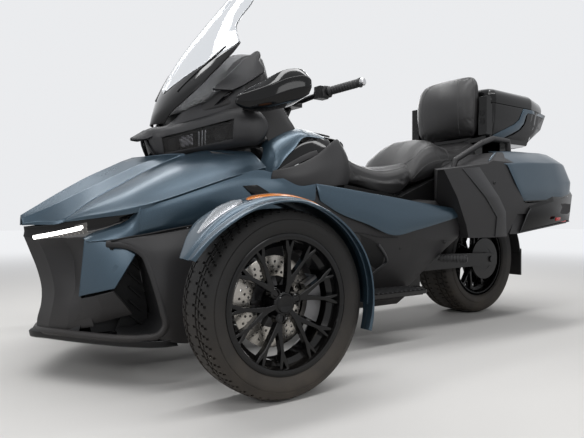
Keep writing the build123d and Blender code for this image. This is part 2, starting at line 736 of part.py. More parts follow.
mask_stations = [
    (1040, [(0, 806), (30, 806), (36, 816), (14, 828), (6, 831), (0, 831)]),
    (1012, [(0, 700), (8, 754), (58, 812), (34, 848), (16, 853), (0, 853)]),
    (960, [(0, 700), (76, 742), (92, 800), (62, 868), (30, 884), (0, 890)]),
    (880, [(0, 700), (112, 745), (150, 800), (104, 890), (60, 904), (0, 912)]),
    (790, [(0, 700), (190, 780), (213, 830), (160, 925), (90, 936), (0, 942)]),
    (670, [(0, 700), (246, 795), (260, 850), (234, 944), (120, 955), (0, 962)]),
    (604, [(0, 700), (250, 800), (262, 866), (250, 925), (120, 942), (0, 948)]),
]
lens_side_view = [(952, 772), (954, 820), (728, 890), (728, 826)]
lens_plan = [(975, 60), (728, 180), (728, 300), (975, 140)]

with BuildPart() as mask_form:
    loft(cross_sections(mask_stations), ruled=True)
    plate(tub_outline, -tub_half_width, tub_half_width, 1, Mode.SUBTRACT)
    add(front_body.part, mode=Mode.SUBTRACT)

with BuildPart() as lens_band:
    for side in (1, -1):
        extrude(outline(Plane.XY.offset(700), [(x, side * y) for x, y in lens_plan]), amount=300)

with BuildPart() as lens_area:
    for side in (1, -1):
        plate(lens_side_view, 50, 300, side)
    add(lens_band.part, mode=Mode.INTERSECT)

with BuildPart() as headlamps:
    add(mask_form.part)
    add(lens_area.part, mode=Mode.INTERSECT)
finish(headlamps.part, "headlamps")

with BuildPart() as headlamp_mask:
    add(mask_form.part)
    add(lens_area.part, mode=Mode.SUBTRACT)
finish(headlamp_mask.part, "headlamp_mask")

# The console between mask and seat, with the knee panels on its flanks
console_stations = [
    (698, [(0, 640), (366, 690), (368, 698), (250, 790), (150, 796), (0, 798)]),
    (603, [(0, 640), (394, 646), (396, 656), (262, 830), (150, 850), (0, 856)]),
    (480, [(0, 640), (398, 646), (400, 656), (276, 876), (150, 882), (0, 884)]),
    (345, [(0, 640), (364, 650), (366, 660), (298, 846), (150, 868), (0, 874)]),
    (240, [(0, 640), (300, 668), (298, 680), (240, 836), (150, 856), (0, 862)]),
    (150, [(0, 640), (180, 672), (178, 684), (150, 812), (90, 832), (0, 838)]),
]
arch_side_view = [(720, 676), (676, 698), (345, 852), (300, 900), (720, 900)]
vent_side_view = [(628, 706), (600, 690), (352, 786), (352, 838)]
column_foot = tuple(Vector(*column_top) - column_axis * column_length)

with BuildPart() as console_form:
    loft(cross_sections(console_stations), ruled=True)
    add(headlamp_mask.part, mode=Mode.SUBTRACT)
    add(headlamps.part, mode=Mode.SUBTRACT)
    add(front_body.part, mode=Mode.SUBTRACT)
    # The steering column's bearing, and room for the column above it
    well_top = tuple(Vector(*column_top) + column_axis * 40)
    bearing_low = tuple(Vector(*column_foot) - column_axis * 0.3)
    bearing_high = tuple(Vector(*column_foot) + column_axis * 40)
    bar_between(bearing_low, well_top, column_radius + bearing_clearance, Mode.SUBTRACT)
    bar_between(bearing_high, well_top, column_radius + 6, Mode.SUBTRACT)

with BuildPart() as arch_area:
    for side in (1, -1):
        plate(arch_side_view, 226, 460, side)

with BuildPart() as shoulder_arches:
    add(console_form.part)
    add(arch_area.part, mode=Mode.INTERSECT)
finish(shoulder_arches.part, "shoulder_arches")

with BuildPart() as vent_area:
    for side in (1, -1):
        plate(vent_side_view, 270, 460, side)

with BuildPart() as vent_panels:
    add(console_form.part)
    add(vent_area.part, mode=Mode.INTERSECT)
    add(shoulder_arches.part, mode=Mode.SUBTRACT)
finish(vent_panels.part, "vent_panels")

with BuildPart() as console:
    add(console_form.part)
    add(shoulder_arches.part, mode=Mode.SUBTRACT)
    add(vent_panels.part, mode=Mode.SUBTRACT)
finish(console.part, "console")

with BuildPart() as upper_fairing:
    loft(
        level_sections(
            [
                (900, [(880, 0), (800, 140), (640, 262), (520, 280), (500, 0)]),
                (1000, [(838, 0), (790, 160), (650, 288), (504, 296), (500, 0)]),
                (1090, [(772, 0), (724, 200), (650, 292), (604, 284), (604, 0)]),
                (1162, [(700, 0), (694, 150), (656, 248), (622, 250), (640, 0)]),
            ]
        ),
        ruled=True,
    )
    add(headlamp_mask.part, mode=Mode.SUBTRACT)
    add(headlamps.part, mode=Mode.SUBTRACT)
    add(console.part, mode=Mode.SUBTRACT)
    add(shoulder_arches.part, mode=Mode.SUBTRACT)
finish(upper_fairing.part, "upper_fairing")

# Windscreen. Each row: height, x of the edge, half width, x of the centre
screen_rows = [
    (884, 930, 62, 962),
    (1000, 862, 205, 912),
    (1070, 812, 262, 872),
    (1152, 752, 322, 824),
    (1212, 730, 256, 790),
    (1300, 678, 202, 728),
    (1400, 606, 184, 650),
    (1486, 540, 130, 582),
]

with BuildPart() as windscreen:
    bands = []
    for z, edge_x, half_width, centre_x in screen_rows:
        with BuildSketch(Plane.XY.offset(z)) as band:
            with BuildLine():
                ThreePointArc((edge_x, -half_width), (centre_x, 0), (edge_x, half_width))
                Line((edge_x, half_width), (edge_x - 5, half_width))
                ThreePointArc((edge_x - 5, half_width), (centre_x - 5, 0), (edge_x - 5, -half_width))
                Line((edge_x - 5, -half_width), (edge_x, -half_width))
            make_face()
        bands.append(band.sketch)
    loft(bands, ruled=True)
    add(headlamp_mask.part, mode=Mode.SUBTRACT)
    add(upper_fairing.part, mode=Mode.SUBTRACT)
finish(windscreen.part, "windscreen")

with BuildPart() as mirrors:
    loft(
        side_sections(
            [
                (756, [(322, 905), (342, 908), (348, 950), (330, 962), (318, 940)]),
                (690, [(328, 900), (392, 912), (402, 975), (360, 1000), (322, 970)]),
                (610, [(346, 922), (436, 938), (448, 1010), (410, 1050), (340, 1030)]),
                (534, [(378, 952), (454, 966), (462, 1010), (430, 1046), (374, 1030)]),
            ]
        ),
        ruled=True,
    )
    block((646, 270, 930), (700, 350, 958))
    mirror(about=Plane.XZ)
    add(upper_fairing.part, mode=Mode.SUBTRACT)
    add(headlamp_mask.part, mode=Mode.SUBTRACT)
finish(mirrors.part, "mirrors")

# Handlebar on its tilted column

with BuildPart() as handlebar:
    bar_between(column_foot, column_top, column_radius)
    bar_points = [(335, 0, 1034), (338, 120, 1028), (322, 232, 1042), (254, 412, 1064)]
    for start, end in zip(bar_points, bar_points[1:]):
        bar_between(start, end, bar_radius)
        bar_between((start[0], -start[1], start[2]), (end[0], -end[1], end[2]), bar_radius)
    for side in (1, -1):
        with Locations((338, side * 120, 1028), (322, side * 232, 1042)):
            Sphere(bar_radius)
        block((306, min(side * 222, side * 262), 1016), (350, max(side * 222, side * 262), 1066))
    block((300, -70, 1012), (356, 70, 1050))
finish(handlebar.part, "handlebar")

with BuildPart() as grips:
    grip_start = Vector(312, 262, 1045)
    grip_end = Vector(254, 412, 1064)
    grip_path = (grip_end - grip_start).normalized()
    bar_between(tuple(grip_start + grip_path * 4), tuple(grip_end + grip_path * 8), grip_radius)
    mirror(about=Plane.XZ)
    add(handlebar.part, mode=Mode.SUBTRACT)
finish(grips.part, "grips")

# Side covers and the panels on them. Each row: x, then one side's closed outline of (y, z)

cover_stations = [
    (492, [(200, 470), (340, 470), (392, 520), (398, 600), (396, 640), (200, 640)]),
    (440, [(200, 300), (330, 306), (398, 470), (408, 600), (398, 640), (200, 640)]),
    (200, [(200, 212), (312, 216), (398, 450), (406, 580), (330, 668), (200, 668)]),
    (-90, [(200, 214), (314, 216), (402, 440), (412, 560), (300, 626), (200, 626)]),
    (-300, [(206, 330), (320, 330), (404, 430), (416, 530), (330, 620), (206, 620)]),
    (-352, [(206, 430), (380, 430), (400, 440), (412, 530), (330, 610), (206, 610)]),
]
side_panel_outline = [
    (492, 655), (492, 600), (430, 560), (97, 455), (-82, 487), (-328, 536), (-305, 567), (95, 619),
]

with BuildPart() as side_panels:
    plate(side_panel_outline, 330, 424)
    mirror(about=Plane.XZ)
    add(console.part, mode=Mode.SUBTRACT)
    add(front_body.part, mode=Mode.SUBTRACT)
finish(side_panels.part, "side_panels")

with BuildPart() as side_covers:
    loft(side_sections(cover_stations), ruled=True)
    mirror(about=Plane.XZ)
    add(side_panels.part, mode=Mode.SUBTRACT)
    add(console.part, mode=Mode.SUBTRACT)
    add(main_frame.part, mode=Mode.SUBTRACT)
    add(engine_block.part, mode=Mode.SUBTRACT)
    add(muffler.part, mode=Mode.SUBTRACT)
finish(side_covers.part, "side_covers")

with BuildPart() as floorboards:
    with BuildSketch(Plane.XY.offset(214)):
        with BuildLine():
            Polyline((250, 300), (250, 440), (225, 456), (-60, 456), (-84, 440), (-84, 300), close=True)
        make_face()
    extrude(amount=14)
    block((140, 150, 196), (170, 330, 214))
    block((-20, 150, 196), (10, 330, 214))
    # Passenger's peg and its arm
    bar_between((-262, 300, 346), (-352, 440, 343), 13)
    bar_between((-250, 150, 352), (-262, 306, 346), 12)
    mirror(about=Plane.XZ)
    add(side_covers.part, mode=Mode.SUBTRACT)
    add(main_frame.part, mode=Mode.SUBTRACT)
    add(engine_block.part, mode=Mode.SUBTRACT)
finish(floorboards.part, "footrests")

# Seats

with BuildPart() as seat_base:
    loft(
        cross_sections(
            [
                (140, [(0, 612), (150, 612), (166, 676), (0, 684)]),
                (-180, [(0, 612), (190, 612), (196, 628), (0, 640)]),
                (-420, [(0, 600), (210, 600), (214, 730), (0, 740)]),
                (-790, [(0, 664), (176, 664), (178, 840), (0, 850)]),
                (-880, [(0, 664), (160, 664), (160, 858), (0, 862)]),
            ]
        ),
        ruled=True,
    )
    add(main_frame.part, mode=Mode.SUBTRACT)
    add(engine_block.part, mode=Mode.SUBTRACT)
    add(console.part, mode=Mode.SUBTRACT)
    add(side_covers.part, mode=Mode.SUBTRACT)
    with BuildSketch(Plane.XZ.offset(-130)) as clearance:
        with Locations(axle_point):
            Circle(rear_tyre_radius + 47)
    extrude(clearance.sketch, amount=260, mode=Mode.SUBTRACT)
    add(side_panels.part, mode=Mode.SUBTRACT)
    add(muffler.part, mode=Mode.SUBTRACT)
finish(seat_base.part, "seat_base")

with BuildPart() as driver_seat:
    loft(
        cross_sections(
            [
                (146, [(0, 700), (146, 700), (152, 790), (110, 815), (0, 822)]),
                (30, [(0, 670), (172, 670), (176, 744), (130, 766), (0, 772)]),
                (-120, [(0, 644), (184, 644), (187, 728), (140, 758), (0, 760)]),
                (-250, [(0, 668), (184, 700), (185, 770), (130, 784), (0, 786)]),
                (-312, [(0, 780), (160, 782), (162, 790), (120, 797), (0, 800)]),
            ]
        ),
        ruled=True,
    )
    add(seat_base.part, mode=Mode.SUBTRACT)
    add(console.part, mode=Mode.SUBTRACT)
    add(main_frame.part, mode=Mode.SUBTRACT)
finish(driver_seat.part, "driver_seat")

with BuildPart() as passenger_seat:
    loft(
        cross_sections(
            [
                (-262, [(0, 690), (196, 692), (200, 716), (180, 748), (0, 752)]),
                (-330, [(0, 700), (204, 712), (206, 800), (160, 850), (0, 858)]),
                (-440, [(0, 730), (210, 742), (208, 850), (150, 918), (0, 930)]),
                (-600, [(0, 780), (204, 790), (204, 862), (150, 896), (0, 900)]),
                (-768, [(0, 850), (190, 852), (190, 916), (140, 942), (0, 948)]),
            ]
        ),
        ruled=True,
    )
    add(seat_base.part, mode=Mode.SUBTRACT)
    add(driver_seat.part, mode=Mode.SUBTRACT)
finish(passenger_seat.part, "passenger_seat")

case_front_x = -778
back_x = case_front_x + 8

with BuildPart() as backrest:
    loft(
        level_sections(
            [
                (962, [(-700, 0), (-706, 120), (-742, 168), (back_x, 160), (back_x, 0)]),
                (1040, [(-652, 0), (-662, 130), (-712, 202), (back_x, 196), (back_x, 0)]),
                (1170, [(-650, 0), (-660, 134), (-714, 206), (back_x, 198), (back_x, 0)]),
                (1284, [(-722, 0), (-728, 110), (-750, 158), (back_x, 150), (back_x, 0)]),
            ]
        ),
        ruled=True,
    )
finish(backrest.part, "backrest")

# Rear luggage

case_rows = [
    (932, [(-786, 0), (-786, 214), (-800, 226), (-1160, 214), (-1190, 170), (-1196, 0)]),
    (1040, [(-780, 0), (-780, 240), (-800, 252), (-1180, 244), (-1330, 196), (-1340, 0)]),
    (case_split_z, [(-778, 0), (-778, 246), (-800, 258), (-1190, 252), (-1380, 196), (-1392, 0)]),
    (1180, [(-778, 0), (-778, 246), (-800, 258), (-1190, 252), (-1402, 190), (-1416, 0)]),
    (1218, [(-800, 0), (-800, 210), (-820, 222), (-1180, 212), (-1340, 160), (-1350, 0)]),
]


def shrink(rows, wall, floor, ceiling):
    """The same levels, in by a wall thickness, between a floor and a ceiling."""
    middle_x = -1090
    inner = []
    for z, half in rows:
        points = []
        for x, y in half:
            points.append((x + (wall if x < middle_x else -wall), max(y - wall, 0)))
        inner.append((min(max(z, floor), ceiling), points))
    return inner


with BuildPart() as top_case_body:
    loft(level_sections(case_rows[:3]), ruled=True)
    room = shrink(case_rows[:3], case_wall, 932 + case_wall, case_split_z)
    loft(level_sections(room), ruled=True, mode=Mode.SUBTRACT)
    # Feet on the rear subframe
    for x in (-860, -1080):
        block((x - 30, -120, 850), (x + 30, 120, 932))
    for y_low, y_high in ((120, 160), (-160, -120)):
        block((-1120, y_low, 828), (-820, y_high, 856))
        block((-1120, y_low, subframe_z[1]), (-1080, y_high, 830))
    # Passenger's loudspeakers beside the backrest, and the rests that hold the backrest
    for y_low, y_high in ((206, 258), (-258, -206)):
        block((case_front_x + 4, y_low, 960), (-740, y_high, 1160))
        block((case_front_x - 6, y_low, 960), (-770, y_high, case_split_z - 8))
    for y_low, y_high in ((60, 110), (-110, -60)):
        block((case_front_x - 10, y_low, 1000), (back_x - 0.3, y_high, case_split_z - 8))
    add(seat_base.part, mode=Mode.SUBTRACT)
    add(passenger_seat.part, mode=Mode.SUBTRACT)
finish(top_case_body.part, "top_case_body")

with BuildPart() as top_case_lid:
    gap_rows = [(case_split_z + 0.5, case_rows[2][1]), case_rows[3], case_rows[4]]
    loft(level_sections(gap_rows), ruled=True)
    room = shrink(gap_rows, case_wall, case_split_z, 1218 - case_wall)
    loft(level_sections(room), ruled=True, mode=Mode.SUBTRACT)
finish(top_case_lid.part, "top_case_lid")

bag_outline = [
    (-150, 736), (-448, 776), (-620, 846), (-1196, 854), (-1200, 700), (-1150, 640),
    (-1172, 560), (-1150, 548), (-705, 548), (-646, 436), (-362, 438), (-332, 495),
]
lid_outline = [(-700, 900), (-752.5, 601), (-1230, 601), (-1230, 900)]
bag_section = [
    (bag_inner_y, 400), (430, 400), (bag_outer_y, 620), (bag_outer_y, 792), (388, 860), (bag_inner_y, 860),
]
bag_hollow_section = [(y - bag_wall if y > 300 else y + bag_wall, z) for y, z in bag_section]

# Seen from above, the bag's front runs back and inwards beside the passenger's leg, as (x, y)
bag_plan = [(-150, 520), (-150, 440), (-420, bag_inner_y - 5), (-1300, bag_inner_y - 5), (-1300, 520)]

with BuildPart() as bag_form:
    plate(bag_outline, bag_inner_y, 520)
    extrude(outline(Plane.XY.offset(350), bag_plan), amount=600, mode=Mode.INTERSECT)
    extrude(outline(Plane.YZ.offset(-1300), bag_section), amount=1300, mode=Mode.INTERSECT)

with BuildPart() as bag_room:
    room = [(-600, 828), (-1188, 828), (-1188, 650), (-1140, 606), (-1140, 560), (-700, 560), (-600, 620)]
    plate(room, bag_inner_y + bag_wall, 520)
    extrude(outline(Plane.YZ.offset(-1300), bag_hollow_section), amount=1300, mode=Mode.INTERSECT)

with BuildPart() as bag_lid_area:
    plate(lid_outline, 330, 520)

with BuildPart() as bag_bodies:
    add(bag_form.part)
    add(bag_room.part, mode=Mode.SUBTRACT)
    plate([(-697, 900), (-750, 600.5), (-1230, 600.5), (-1230, 900)], 327, 520, 1, Mode.SUBTRACT)
    # The box under the bag, and brackets in to the subframe
    lower_box = [(-708, 548), (-1150, 548), (-1172, 540), (-1162, 500), (-720, 450), (-660, 450)]
    plate(lower_box, 212, 446)
    for x in (-700, -1060):
        block((x - 15, rail_outer_y, 630), (x + 15, bag_inner_y, 653))
    mirror(about=Plane.XZ)
    for neighbour in (muffler, side_covers, side_panels, seat_base, driver_seat, passenger_seat):
        add(neighbour.part, mode=Mode.SUBTRACT)
    for neighbour in (top_case_body, swingarm, main_frame):
        add(neighbour.part, mode=Mode.SUBTRACT)
finish(bag_bodies.part, "bag_bodies")

for side_name, side in SIDES.items():
    with BuildPart() as bag_lid:
        add(bag_form.part)
        add(bag_lid_area.part, mode=Mode.INTERSECT)
        add(bag_room.part, mode=Mode.SUBTRACT)
        if side < 0:
            mirror(about=Plane.XZ, mode=Mode.REPLACE)
    finish(bag_lid.part, f"bag_lid_{side_name}")

with BuildPart() as rear_lamps:
    block((-1150, 446, 506), (-1096, 452, 530))
    block((-1206, 215, 730), (-1190, 322, 800))
    mirror(about=Plane.XZ)
    add(bag_bodies.part, mode=Mode.SUBTRACT)
finish(rear_lamps.part, "rear_lamps")

with BuildPart() as grab_rails:
    rail_points = [
        (-424, 300, 760), (-440, 301, 806), (-620, 316, 900), (-720, 306, 930), (-872, 290, 930), (-884, 288, 840),
    ]
    for start, end in zip(rail_points, rail_points[1:]):
        bar_between(start, end, 14)
    for point in rail_points[1:-1]:
        with Locations(point):
            Sphere(14)
    mirror(about=Plane.XZ)
    add(bag_bodies.part, mode=Mode.SUBTRACT)
    add(top_case_body.part, mode=Mode.SUBTRACT)
finish(grab_rails.part, "grab_rails")
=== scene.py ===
# %% [markdown]
# # A three-wheeled touring motorcycle
#
# This lesson dresses a finished set of solid parts. The parts come with their sizes, their places
# and their joints, so nothing here is moved or scaled. What Blender adds is the look: smooth panels,
# tyre tread, stitched seats, lamps, and a material for every surface.

# %% Load the parts
from math import atan2, cos, hypot, pi, radians, sin

import bpy
from mathutils import Matrix, Vector


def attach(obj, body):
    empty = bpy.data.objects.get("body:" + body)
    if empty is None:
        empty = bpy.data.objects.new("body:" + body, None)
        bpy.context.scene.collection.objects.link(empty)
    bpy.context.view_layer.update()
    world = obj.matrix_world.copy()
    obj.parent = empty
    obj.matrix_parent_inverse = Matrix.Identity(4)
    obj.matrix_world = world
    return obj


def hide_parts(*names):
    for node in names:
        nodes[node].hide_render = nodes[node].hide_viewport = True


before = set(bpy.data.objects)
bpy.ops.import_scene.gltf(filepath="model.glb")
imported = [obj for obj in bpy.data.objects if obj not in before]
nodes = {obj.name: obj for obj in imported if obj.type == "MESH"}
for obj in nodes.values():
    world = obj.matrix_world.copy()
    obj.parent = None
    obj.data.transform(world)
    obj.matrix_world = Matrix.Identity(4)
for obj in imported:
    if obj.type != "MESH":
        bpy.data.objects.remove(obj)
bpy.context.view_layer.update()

# %% [markdown]
# ## Camera, floor and light
#
# The camera stands low, ahead and to the left of the vehicle, where the photograph was taken. Its
# place and lens were worked out from the wheels, whose real sizes are known. A lens in Blender is
# given for a 36 mm wide sensor.

# %% Camera
MM = 0.001
SENSOR_WIDTH = 36
CAMERA_LENS = 34.44
CAMERA_PLACE = (1.735, 2.054, 0.540)
camera_yaw, camera_pitch = radians(-124.83), radians(-0.364)

bpy.ops.object.camera_add(location=CAMERA_PLACE)
camera = bpy.context.object
camera.name = "camera"
look = Vector((cos(camera_pitch) * cos(camera_yaw), cos(camera_pitch) * sin(camera_yaw), sin(camera_pitch)))
camera.rotation_euler = look.to_track_quat("-Z", "Y").to_euler()
camera.data.lens = CAMERA_LENS
camera.data.sensor_width = SENSOR_WIDTH
camera.data.clip_start = 0.05
bpy.context.scene.camera = camera
bpy.context.scene.view_settings.view_transform = "Standard"

# %% [markdown]
# Materials are trees of nodes. Three short functions make them: one sets or links the inputs of a node,
# one adds a node, and one starts a material.


# %% Building node trees
def feed(tree, node, inputs):
    """Link each named input of a node to a socket, or set it to a value."""
    for title, value in inputs.items():
        if isinstance(value, bpy.types.NodeSocket):
            tree.links.new(value, node.inputs[title])
        else:
            node.inputs[title].default_value = value


def wired(tree, kind, inputs, **settings):
    """A new shader node with its settings and its inputs."""
    node = tree.nodes.new("ShaderNode" + kind)
    for title, value in settings.items():
        setattr(node, title, value)
    feed(tree, node, inputs)
    return node


def calculated(tree, operation, first, second):
    """What a Math node makes of two sockets or plain numbers."""
    return wired(tree, "Math", {0: first, 1: second}, operation=operation).outputs[0]


def mixed(tree, factor, first, second):
    """A blend of two colours."""
    return wired(tree, "Mix", {"Factor": factor, "A": first, "B": second}, data_type="RGBA").outputs["Result"]


def own_place(tree):
    """The place on the object itself, which every texture here uses."""
    return wired(tree, "TexCoord", {}).outputs["Object"]


def new_material(name):
    """A node material, its tree and its Principled BSDF."""
    material = bpy.data.materials.new(name)
    material.use_nodes = True
    return material, material.node_tree, material.node_tree.nodes["Principled BSDF"]


# %% [markdown]
# A wide plain floor catches the shadow, and far away it melts into the background, so no horizon
# shows. Both stay pale because they are white where the camera, a glossy surface or a pane of glass
# looks at them, and dimmer where they only light the object. Long strip lamps stand in for a ceiling
# of tubes: their reflections are what shows the creases in the paint.

# %% Floor, world and lamps
BACKDROP = (0.90, 0.91, 0.93, 1)
BACKDROP_LIGHT, BACKDROP_SEEN = 0.30, 0.92


def pale_for_the_eye(tree):
    """The backdrop's strength, which is higher for what the camera, a mirror or glass sees."""
    rays = wired(tree, "LightPath", {}).outputs
    seen = rays["Is Camera Ray"]
    for ray in ("Is Glossy Ray", "Is Transmission Ray"):
        seen = calculated(tree, "MAXIMUM", seen, rays[ray])
    span = wired(tree, "MapRange", {"Value": seen, "To Min": BACKDROP_LIGHT, "To Max": BACKDROP_SEEN})
    return span.outputs["Result"]


world = bpy.data.worlds.new("studio")
bpy.context.scene.world = world
world.use_nodes = True
sky = {"Color": BACKDROP, "Strength": pale_for_the_eye(world.node_tree)}
feed(world.node_tree, world.node_tree.nodes["Background"], sky)

bpy.ops.mesh.primitive_plane_add(size=40, location=(0, 0, -0.0005))
floor = bpy.context.object
floor.name = "floor"
floor_paint, tree, floor_shader = new_material("floor_paint")
distance = wired(tree, "VectorMath", {0: own_place(tree)}, operation="LENGTH").outputs["Value"]
far = wired(tree, "MapRange", {"Value": distance, "From Min": 1.6, "From Max": 7.5},
            interpolation_type="SMOOTHSTEP").outputs["Result"]
feed(tree, floor_shader, {
    "Base Color": mixed(tree, far, (0.66, 0.65, 0.635, 1), (0, 0, 0, 1)), "Emission Color": BACKDROP,
    "Emission Strength": calculated(tree, "MULTIPLY", far, pale_for_the_eye(tree)),
    "Roughness": 0.8, "Specular IOR Level": 0.1,
})
floor.data.materials.append(floor_paint)


def soft_box(name, place, aim, size, power):
    """A large rectangular lamp that points at a place."""
    bpy.ops.object.light_add(type="AREA", location=place)
    lamp = bpy.context.object
    lamp.name = name
    lamp.rotation_euler = (Vector(aim) - Vector(place)).to_track_quat("-Z", "Y").to_euler()
    lamp.data.shape = "RECTANGLE"
    lamp.data.size, lamp.data.size_y = size
    lamp.data.energy = power


for number, across in enumerate((-1.5, 0.1, 1.7)):
    soft_box("ceiling_strip_%d" % number, (0.2, across, 3.2), (0.2, across * 0.6, 0), (4.6, 0.34), 48)
soft_box("left_wall", (1.0, 4.2, 2.0), (0, 0, 0.5), (3.8, 0.8), 34)
soft_box("front_wall", (4.2, 0.9, 1.9), (0.3, 0, 0.5), (2.0, 0.7), 18)
soft_box("back_right", (-2.6, -3.4, 2.2), (-0.3, 0, 0.6), (2.6, 1.2), 45)

# %% [markdown]
# ## Tools for making shapes
#
# A body panel is a thin moulded sheet that runs through a few measured cross-sections. It could be
# sculpted or subdivided from a rough cage, but a cage shrinks when it is smoothed. Here a grid is laid
# through the sections themselves with a line that passes through every measured point, so the panel
# has its true size. Its creases are then rounded with a Bevel, and Solidify gives it its wall.

# %% Selecting, editing and applying
MERGE, DEGENERATE = 0.05, 0.01
SELECT_ALL = (bpy.ops.mesh.select_all, {"action": "SELECT"})


def select_only(*pieces):
    """Select these pieces and nothing else, with the first one active."""
    bpy.ops.object.select_all(action="DESELECT")
    for piece in pieces:
        piece.select_set(True)
    bpy.context.view_layer.objects.active = pieces[0]


def in_edit_mode(piece, *steps):
    """Select all that the piece has and run mesh operators, each given with its options."""
    select_only(piece)
    bpy.ops.object.mode_set(mode="EDIT")
    for operator, options in (SELECT_ALL,) + steps:
        operator(**options)
    bpy.ops.object.mode_set(mode="OBJECT")


def apply_modifiers(piece):
    """Apply the modifiers from the first to the last."""
    select_only(piece)
    for modifier in list(piece.modifiers):
        bpy.ops.object.modifier_apply(modifier=modifier.name)


def face_out(piece):
    """Merge doubles and turn the faces of a closed form outwards."""
    in_edit_mode(
        piece, (bpy.ops.mesh.remove_doubles, {"threshold": MERGE * MM}),
        (bpy.ops.mesh.dissolve_degenerate, {"threshold": DEGENERATE * MM}),
        SELECT_ALL, (bpy.ops.mesh.normals_make_consistent, {"inside": False}),
    )


def aim(piece, outward):
    """Turn an open sheet's faces to the side that a direction points to."""
    outward = Vector(outward)
    if sum((face.normal * face.area).dot(outward) for face in piece.data.polygons) < 0:
        piece.data.flip_normals()


def smooth(piece, angle=34):
    """Smooth shading, except over edges sharper than an angle."""
    select_only(piece)
    bpy.ops.object.shade_smooth_by_angle(angle=radians(angle))
    return piece


def bevelled(piece, width, angle=30, segments=3):
    """Add a Bevel, in millimetres, on the edges that turn more than an angle."""
    bevel = piece.modifiers.new("bevel", "BEVEL")
    bevel.width = width * MM
    bevel.segments = segments
    bevel.limit_method = "ANGLE"
    bevel.angle_limit = radians(angle)


def mirror_over(piece):
    """Add a Mirror across the vehicle's centre plane."""
    twin = piece.modifiers.new("mirror", "MIRROR")
    twin.use_axis = (False, True, False)
    twin.merge_threshold = 0.2 * MM


def on_both_sides(piece):
    """The piece with its mirror image, as one object."""
    mirror_over(piece)
    apply_modifiers(piece)
    return piece


# %% [markdown]
# The line used here goes through its points. Each span looks at the point before it and the point
# after it, and leans towards the nearer one, so neighbouring spans meet smoothly and no long span
# swings out beside a short one. A crisp edge in such a line is three points close together.


# %% Lines and nets through measured points
def smooth_line(points, steps):
    """A smooth line through points, with a number of steps in each span."""
    ends = [points[0] * 2 - points[1]] + list(points) + [points[-1] * 2 - points[-2]]
    line = []
    for before, start, end, after in zip(ends, ends[1:], ends[2:], ends[3:]):
        first, span, last = [max(gap.length, 1e-7) for gap in (start - before, end - start, after - end)]
        leave = ((start - before) / first * span + (end - start) / span * first) / (first + span)
        arrive = ((end - start) / span * last + (after - end) / last * span) / (span + last)
        for step in range(steps):
            t = step / steps
            line.append(
                start * (2 * t ** 3 - 3 * t ** 2 + 1) + leave * span * (t ** 3 - 2 * t ** 2 + t)
                + end * (3 * t ** 2 - 2 * t ** 3) + arrive * span * (t ** 3 - t ** 2)
            )
    return line + [points[-1]]


def crisp(rows, columns, reach=6):
    """Rows with a point added close to each side of some inner columns, where an edge stays crisp."""
    edged = []
    for row in rows:
        row = [Vector(point) for point in row]
        points = []
        for number, point in enumerate(row):
            if number in columns:
                sides = row[number - 1] - point, row[number + 1] - point
                before, after = [point + side * min(reach / max(side.length, 0.1), 0.45) for side in sides]
                points += [before, point, after]
            else:
                points.append(point)
        edged.append(points)
    return edged


def between(table, value, column):
    """Read a column of a table at a value of its first column."""
    for low, high in zip(table, table[1:]):
        if value <= high[0]:
            share = (value - low[0]) / (high[0] - low[0])
            return low[column] + (high[column] - low[column]) * share
    return table[-1][column]


def net(name, stations, along=4, across=1):
    """A grid through stations, which are rows of points in millimetres."""
    rows = [[Vector(point) * MM for point in row] for row in stations]
    if along > 1:
        rows = list(zip(*[smooth_line(column, along) for column in zip(*rows)]))
    if across > 1:
        rows = [smooth_line(row, across) for row in rows]
    bpy.ops.object.select_all(action="DESELECT")
    bpy.ops.mesh.primitive_grid_add(
        x_subdivisions=len(rows[0]) - 1, y_subdivisions=len(rows) - 1, size=1, location=(0, 0, 0)
    )
    piece = bpy.context.object
    piece.name = name
    for vertex, place in zip(piece.data.vertices, [point for row in rows for point in row]):
        vertex.co = place
    return piece


def panel(name, stations, outward, along=4, across=1, wall=3, crease=5, rim=0.8, both=True):
    """A moulded panel: a net with rounded creases, a wall and a rounded rim."""
    piece = net(name, stations, along, across)
    aim(piece, outward)
    if both:
        mirror_over(piece)
    if crease:
        bevelled(piece, crease, 9)
    solid = piece.modifiers.new("wall", "SOLIDIFY")
    solid.thickness = wall * MM
    solid.offset = -1
    if rim:
        bevelled(piece, rim, 60, 2)
    apply_modifiers(piece)
    return smooth(piece)


def loft(name, rings, along=4, across=1, crease=5, angle=22, both=False):
    """A closed body through rings of points, capped at both ends."""
    piece = net(name, [list(ring) + [ring[0]] for ring in rings], along, across)
    in_edit_mode(
        piece, (bpy.ops.mesh.remove_doubles, {"threshold": MERGE * MM}),
        (bpy.ops.mesh.fill_holes, {"sides": 0}),
    )
    face_out(piece)
    if crease:
        bevelled(piece, crease, angle)
    if both:
        mirror_over(piece)
    apply_modifiers(piece)
    return smooth(piece)


def whole_ring(half):
    """A ring out of its left half. A point at y = 0 belongs to both halves."""
    return half + [(x, -y, z) for x, y, z in reversed(half) if y]


def upright_rings(stations):
    """Sections that are each given as x and (y, z) points."""
    return [[(x, y, z) for y, z in section] for x, section in stations]


def level_rings(levels):
    """Sections that are each given as z and (x, y) points."""
    return [[(x, y, z) for x, y in section] for z, section in levels]


# %% [markdown]
# The other forms are what a workshop makes: plates cut from sheet, parts turned on a lathe, and bent
# bars. Each starts as a ring or a curve at its real size and is extruded, spun or swept.


# %% Plates, turned parts and bars
def ring_of(name, points):
    """A closed ring of edges through points in millimetres, filled as one face."""
    bpy.ops.object.select_all(action="DESELECT")
    bpy.ops.mesh.primitive_circle_add(vertices=len(points), fill_type="NGON", location=(0, 0, 0))
    piece = bpy.context.object
    piece.name = name
    for vertex, place in zip(piece.data.vertices, points):
        vertex.co = Vector(place) * MM
    return piece


